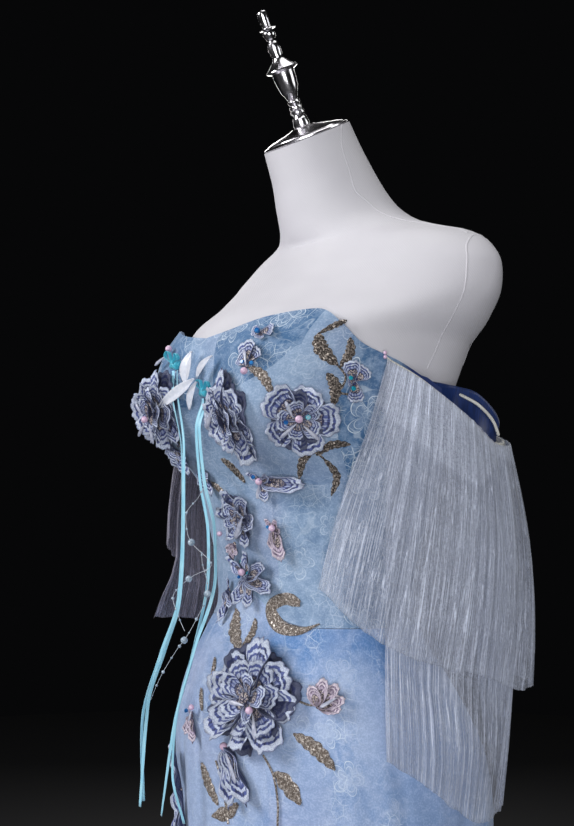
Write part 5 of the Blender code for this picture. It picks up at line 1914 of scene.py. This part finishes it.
def lay_strip(name, midrib, half, wide, high, across=8, steps=24, ribs=0):
    """A raised strip on the gown along a line of (angle, height) points; wide(t) shapes it."""
    place = seat(*midrib[len(midrib) // 2])
    line = [beside(place, a, h) for a, h in midrib]
    obj, u, v = add_grid(name, across, steps)
    flat = []
    for s, t in zip(u * 2 - 1, v):
        middle = through(line, t)
        ahead = through(line, min(t + 0.02, 1)) - through(line, max(t - 0.02, 0))
        ahead = ahead / max(np.linalg.norm(ahead), 1e-9)
        reach = half * wide(t) * s
        dome = math.sqrt(max(1 - s * s, 0))
        vein = 0.35 * math.exp(-((s / 0.16) ** 2)) if ribs else 0
        rib = 0.22 * math.cos(math.tau * ribs * (t - 0.05 * abs(s))) * dome if ribs else 0
        lift = 0.0003 + high * (dome - vein + rib)
        flat.append((middle[0] + ahead[1] * reach, middle[1] - ahead[0] * reach, lift))
    set_points(obj, lay(flat, place))
    away = np.abs(u * 2 - 1)
    ribbed = 0.5 - 0.5 * np.cos(math.tau * ribs * (v - 0.05 * away))
    set_value(obj, "rib", np.maximum(bell(away, 0.14), ribbed))
    start_edit(obj)
    bpy.ops.mesh.normals_make_consistent(inside=False)
    end_edit()
    return obj


def leaf_outline(lobes):
    def wide(t):
        blade = math.sin(math.pi * min(max(t, 0.015), 0.985)) ** 0.75
        return blade * (0.80 + 0.28 * abs(math.cos(math.pi * lobes * t)))
    return wide


def scroll_outline(t):
    """Broad and blunt at the start of the scroll, and drawn to a point at its end."""
    return min(1.0, 0.35 + 6 * t) * (1 - 0.15 * math.sin(9 * t)) * (1 - float(ease_in(t, 0.72, 1.0)) * 0.92)


def make_leaves(materials):
    """The leaves and stems; those without a solid of their own are joined by thread."""
    loose = {"glitter": [], "glitter_dark": []}
    for k, (node, thread, half, lobes, midrib) in enumerate(LEAVES):
        scroll = node == "leaf_waist_scroll"
        wide = scroll_outline if scroll else leaf_outline(lobes or USUAL_LOBES)
        name = node + "_thread" if node else f"leaf_{k}"
        obj = lay_strip(name, midrib, half, wide, 0.0018, 10, 120 if scroll else 56, 26 if scroll else 9)
        if node:
            finish(obj, materials[thread], "leaf_glitter", node)
        else:
            loose[thread].append(obj)
    for thread, midrib in STEMS:
        loose[thread].append(lay_strip("stem", midrib, 0.0011, lambda t: 1.0, 0.0014, 4, 40))
    for thread, parts in loose.items():
        finish(join("small_leaves_" + thread, parts), materials[thread], "leaf_glitter")


# Beads, crystals and drops: kind, angle, height, distance out, and size
BEADS = table(
    "kind angle height out size",
    ("pink_bead", 48.2, 1.2239, 0.0115, 0.0039),
    ("blue_crystal", 44.4, 1.2211, 0.0080, 0.0026),
    ("teal_crystal", 50.9, 1.2249, 0.0085, 0.0030),
    ("teal_crystal", 62.5, 1.2604, 0.0052, 0.0024),
    ("teal_crystal", 64.0, 1.2506, 0.0052, 0.0026),
    ("pink_bead", 30.3, 1.2651, 0.0060, 0.0036),
    ("blue_crystal", 28.3, 1.2740, 0.0050, 0.0022),
    ("blue_crystal", 31.9, 1.2726, 0.0050, 0.0024),
    ("blue_crystal", 28.6, 1.3032, 0.0045, 0.0030),
    ("teal_crystal", 15.3, 1.2533, 0.0120, 0.0018),
    ("pink_bead", -18.4, 1.2971, 0.0060, 0.0036),
    ("pink_bead", -21.5, 1.2318, 0.0255, 0.0036),
    ("pink_bead", 21.0, 1.1681, 0.0080, 0.0036),
    ("blue_crystal", 18.3, 1.1715, 0.0055, 0.0023),
    ("pink_bead", 24.2, 1.1195, 0.0090, 0.0034),
    ("blue_crystal", 21.7, 1.1205, 0.0080, 0.0018),
    ("pink_bead", -10.1, 1.1108, 0.0070, 0.0028),
    ("pink_bead", 2.8, 1.0723, 0.0095, 0.0036),
    ("blue_crystal", 0.1, 1.0664, 0.0080, 0.0018),
    ("teal_crystal", 5.7, 1.0713, 0.0070, 0.0020),
    ("teal_crystal", 2.0, 1.0839, 0.0070, 0.0018),
    ("pink_bead", 21.5, 0.9419, 0.0180, 0.0038),
    ("pink_bead", 8.0, 0.9061, 0.0085, 0.0040),
    ("pink_bead", -9.9, 0.9325, 0.0075, 0.0030),
    ("blue_crystal", -14.2, 0.9273, 0.0065, 0.0022),
)

# Frosted drops: from foot to tip as (angle, height), distance out, and half width
DROPS = (
    ((46.6, 1.2245), (44.4, 1.2386), 0.0105, 0.0027),
    ((47.5, 1.2204), (41.6, 1.2098), 0.0105, 0.0027),
    ((49.2, 1.2186), (53.2, 1.2065), 0.0105, 0.0028),
    ((30.4, 1.2698), (28.0, 1.2846), 0.0060, 0.0022),
    ((23.6, 1.2372), (15.4, 1.2216), 0.0200, 0.0040),
    ((-17.7, 1.2896), (-23.9, 1.2805), 0.0085, 0.0030),
    ((-22.3, 1.2340), (-24.5, 1.2440), 0.0250, 0.0030),
    ((-22.5, 1.2290), (-28.5, 1.2220), 0.0240, 0.0030),
    ((-20.5, 1.2290), (-21.5, 1.2150), 0.0240, 0.0030),
    ((19.5, 1.1634), (17.6, 1.1480), 0.0060, 0.0028),
    ((25.9, 1.1556), (36.4, 1.1567), 0.0065, 0.0030),
    ((9.4, 1.1301), (3.6, 1.1086), 0.0110, 0.0042),
    ((19.3, 0.9453), (12.7, 0.9466), 0.0175, 0.0032),
    ((22.4, 0.9400), (23.6, 0.9195), 0.0160, 0.0036),
    ((8.8, 0.9018), (12.6, 0.8740), 0.0085, 0.0040),
    ((-10.0, 0.9300), (-11.0, 0.9190), 0.0065, 0.0024),
    ((53.4, 0.9585), (46.5, 0.9494), 0.0075, 0.0026),
)


def add_crystal():
    """A bicone crystal, one unit across, cut in eight."""
    clear_selection()
    bpy.ops.mesh.primitive_uv_sphere_add(segments=8, ring_count=4, radius=1)
    crystal = bpy.context.active_object
    x, y, z = points_of(crystal).T
    reach = np.maximum(np.hypot(x, y), 1e-6)
    flat = np.where(np.abs(z) > 0.9, 0.30, np.where(np.abs(z) > 0.5, 0.78, 1.0)) / reach
    spread = np.where(reach < 1e-3, 0, flat)
    set_points(crystal, np.column_stack([x * spread, y * spread, np.sign(z) * np.minimum(np.abs(z), 0.62)]))
    return crystal


def add_drop():
    """A flattened drop of glass, one unit long from its thin foot at the origin."""
    clear_selection()
    bpy.ops.mesh.primitive_uv_sphere_add(segments=14, ring_count=12, radius=1)
    drop = bpy.context.active_object
    x, y, z = points_of(drop).T
    t = (z + 1) / 2
    swell = 0.35 + 1.0 * t
    set_points(drop, np.column_stack([x * swell, t, y * 0.55 * swell]))
    return drop


def make_beads(materials):
    masters = {"crystal": add_crystal(), "drop": add_drop(), "ball": add_ball((0, 0, 0), 1.0)}
    made = {}
    for kind, angle, height, out, size in zip(*BEADS.values()):
        part = copy_of(masters["crystal" if "crystal" in kind else "ball"], kind)
        centre, *axes = seat(angle, height)
        middle = np.array(centre + axes[2] * out)
        set_points(part, middle + points_of(part) @ np.array(axes) * size)
        made.setdefault(kind, []).append(part)
    for rise in (0.002, 0.006):
        part = copy_of(masters["ball"], "corner_bead")
        set_points(part, points_of(part) * 0.0019 + np.array(along(SLEEVE_TOP, 0)) + (0.0, -0.002, rise))
        made["pink_bead"].append(part)
    for foot, tip, out, half in DROPS:
        part = copy_of(masters["drop"], "drop")
        start, end = gown_point(*foot, BODICE_WALL + out), gown_point(*tip, BODICE_WALL + out + 0.001)
        along_drop = end - start
        outward = seat(*foot)[3]
        aside = along_drop.cross(outward).normalized()
        under = aside.cross(along_drop).normalized()
        axes = np.array([aside * half * 0.75, along_drop, under * -half * 0.75])
        set_points(part, np.array(start) + points_of(part) @ axes)
        made.setdefault("frosted", []).append(part)
    remove(*masters.values())
    for kind, parts in made.items():
        sharp = 30 if "crystal" in kind else None
        finish(join(kind + "s", parts), materials[kind], "petal_lace", sharp=sharp)


def main():
    make_camera()
    materials = make_materials()
    make_studio()
    for seed, (name, (knot, aside, rows)) in enumerate(RIBBONS.items()):
        make_ribbon(name, knot, aside, rows, materials["ribbon"], seed)
    make_hanging_cord(materials["cream"])
    for name in KNOTS:
        make_knot(name, materials["teal"])
    make_loops(materials["teal"])
    for name, places in STRINGS.items():
        make_bead_string(name, places, materials)
    make_organza(materials)
    make_form(materials)
    make_chrome(materials)
    make_bodice(materials)
    make_skirt(materials)
    make_sleeves(materials)
    make_loose_edge(materials["navy"])
    masters = {kind: make_petal(kind) for kind in PETALS}
    for row in zip(*FLOWERS.values()):
        make_flower(*row, masters, materials["lilac"])
    make_sprays(masters, materials)
    remove(*masters.values())
    make_leaves(materials)
    make_beads(materials)


main()
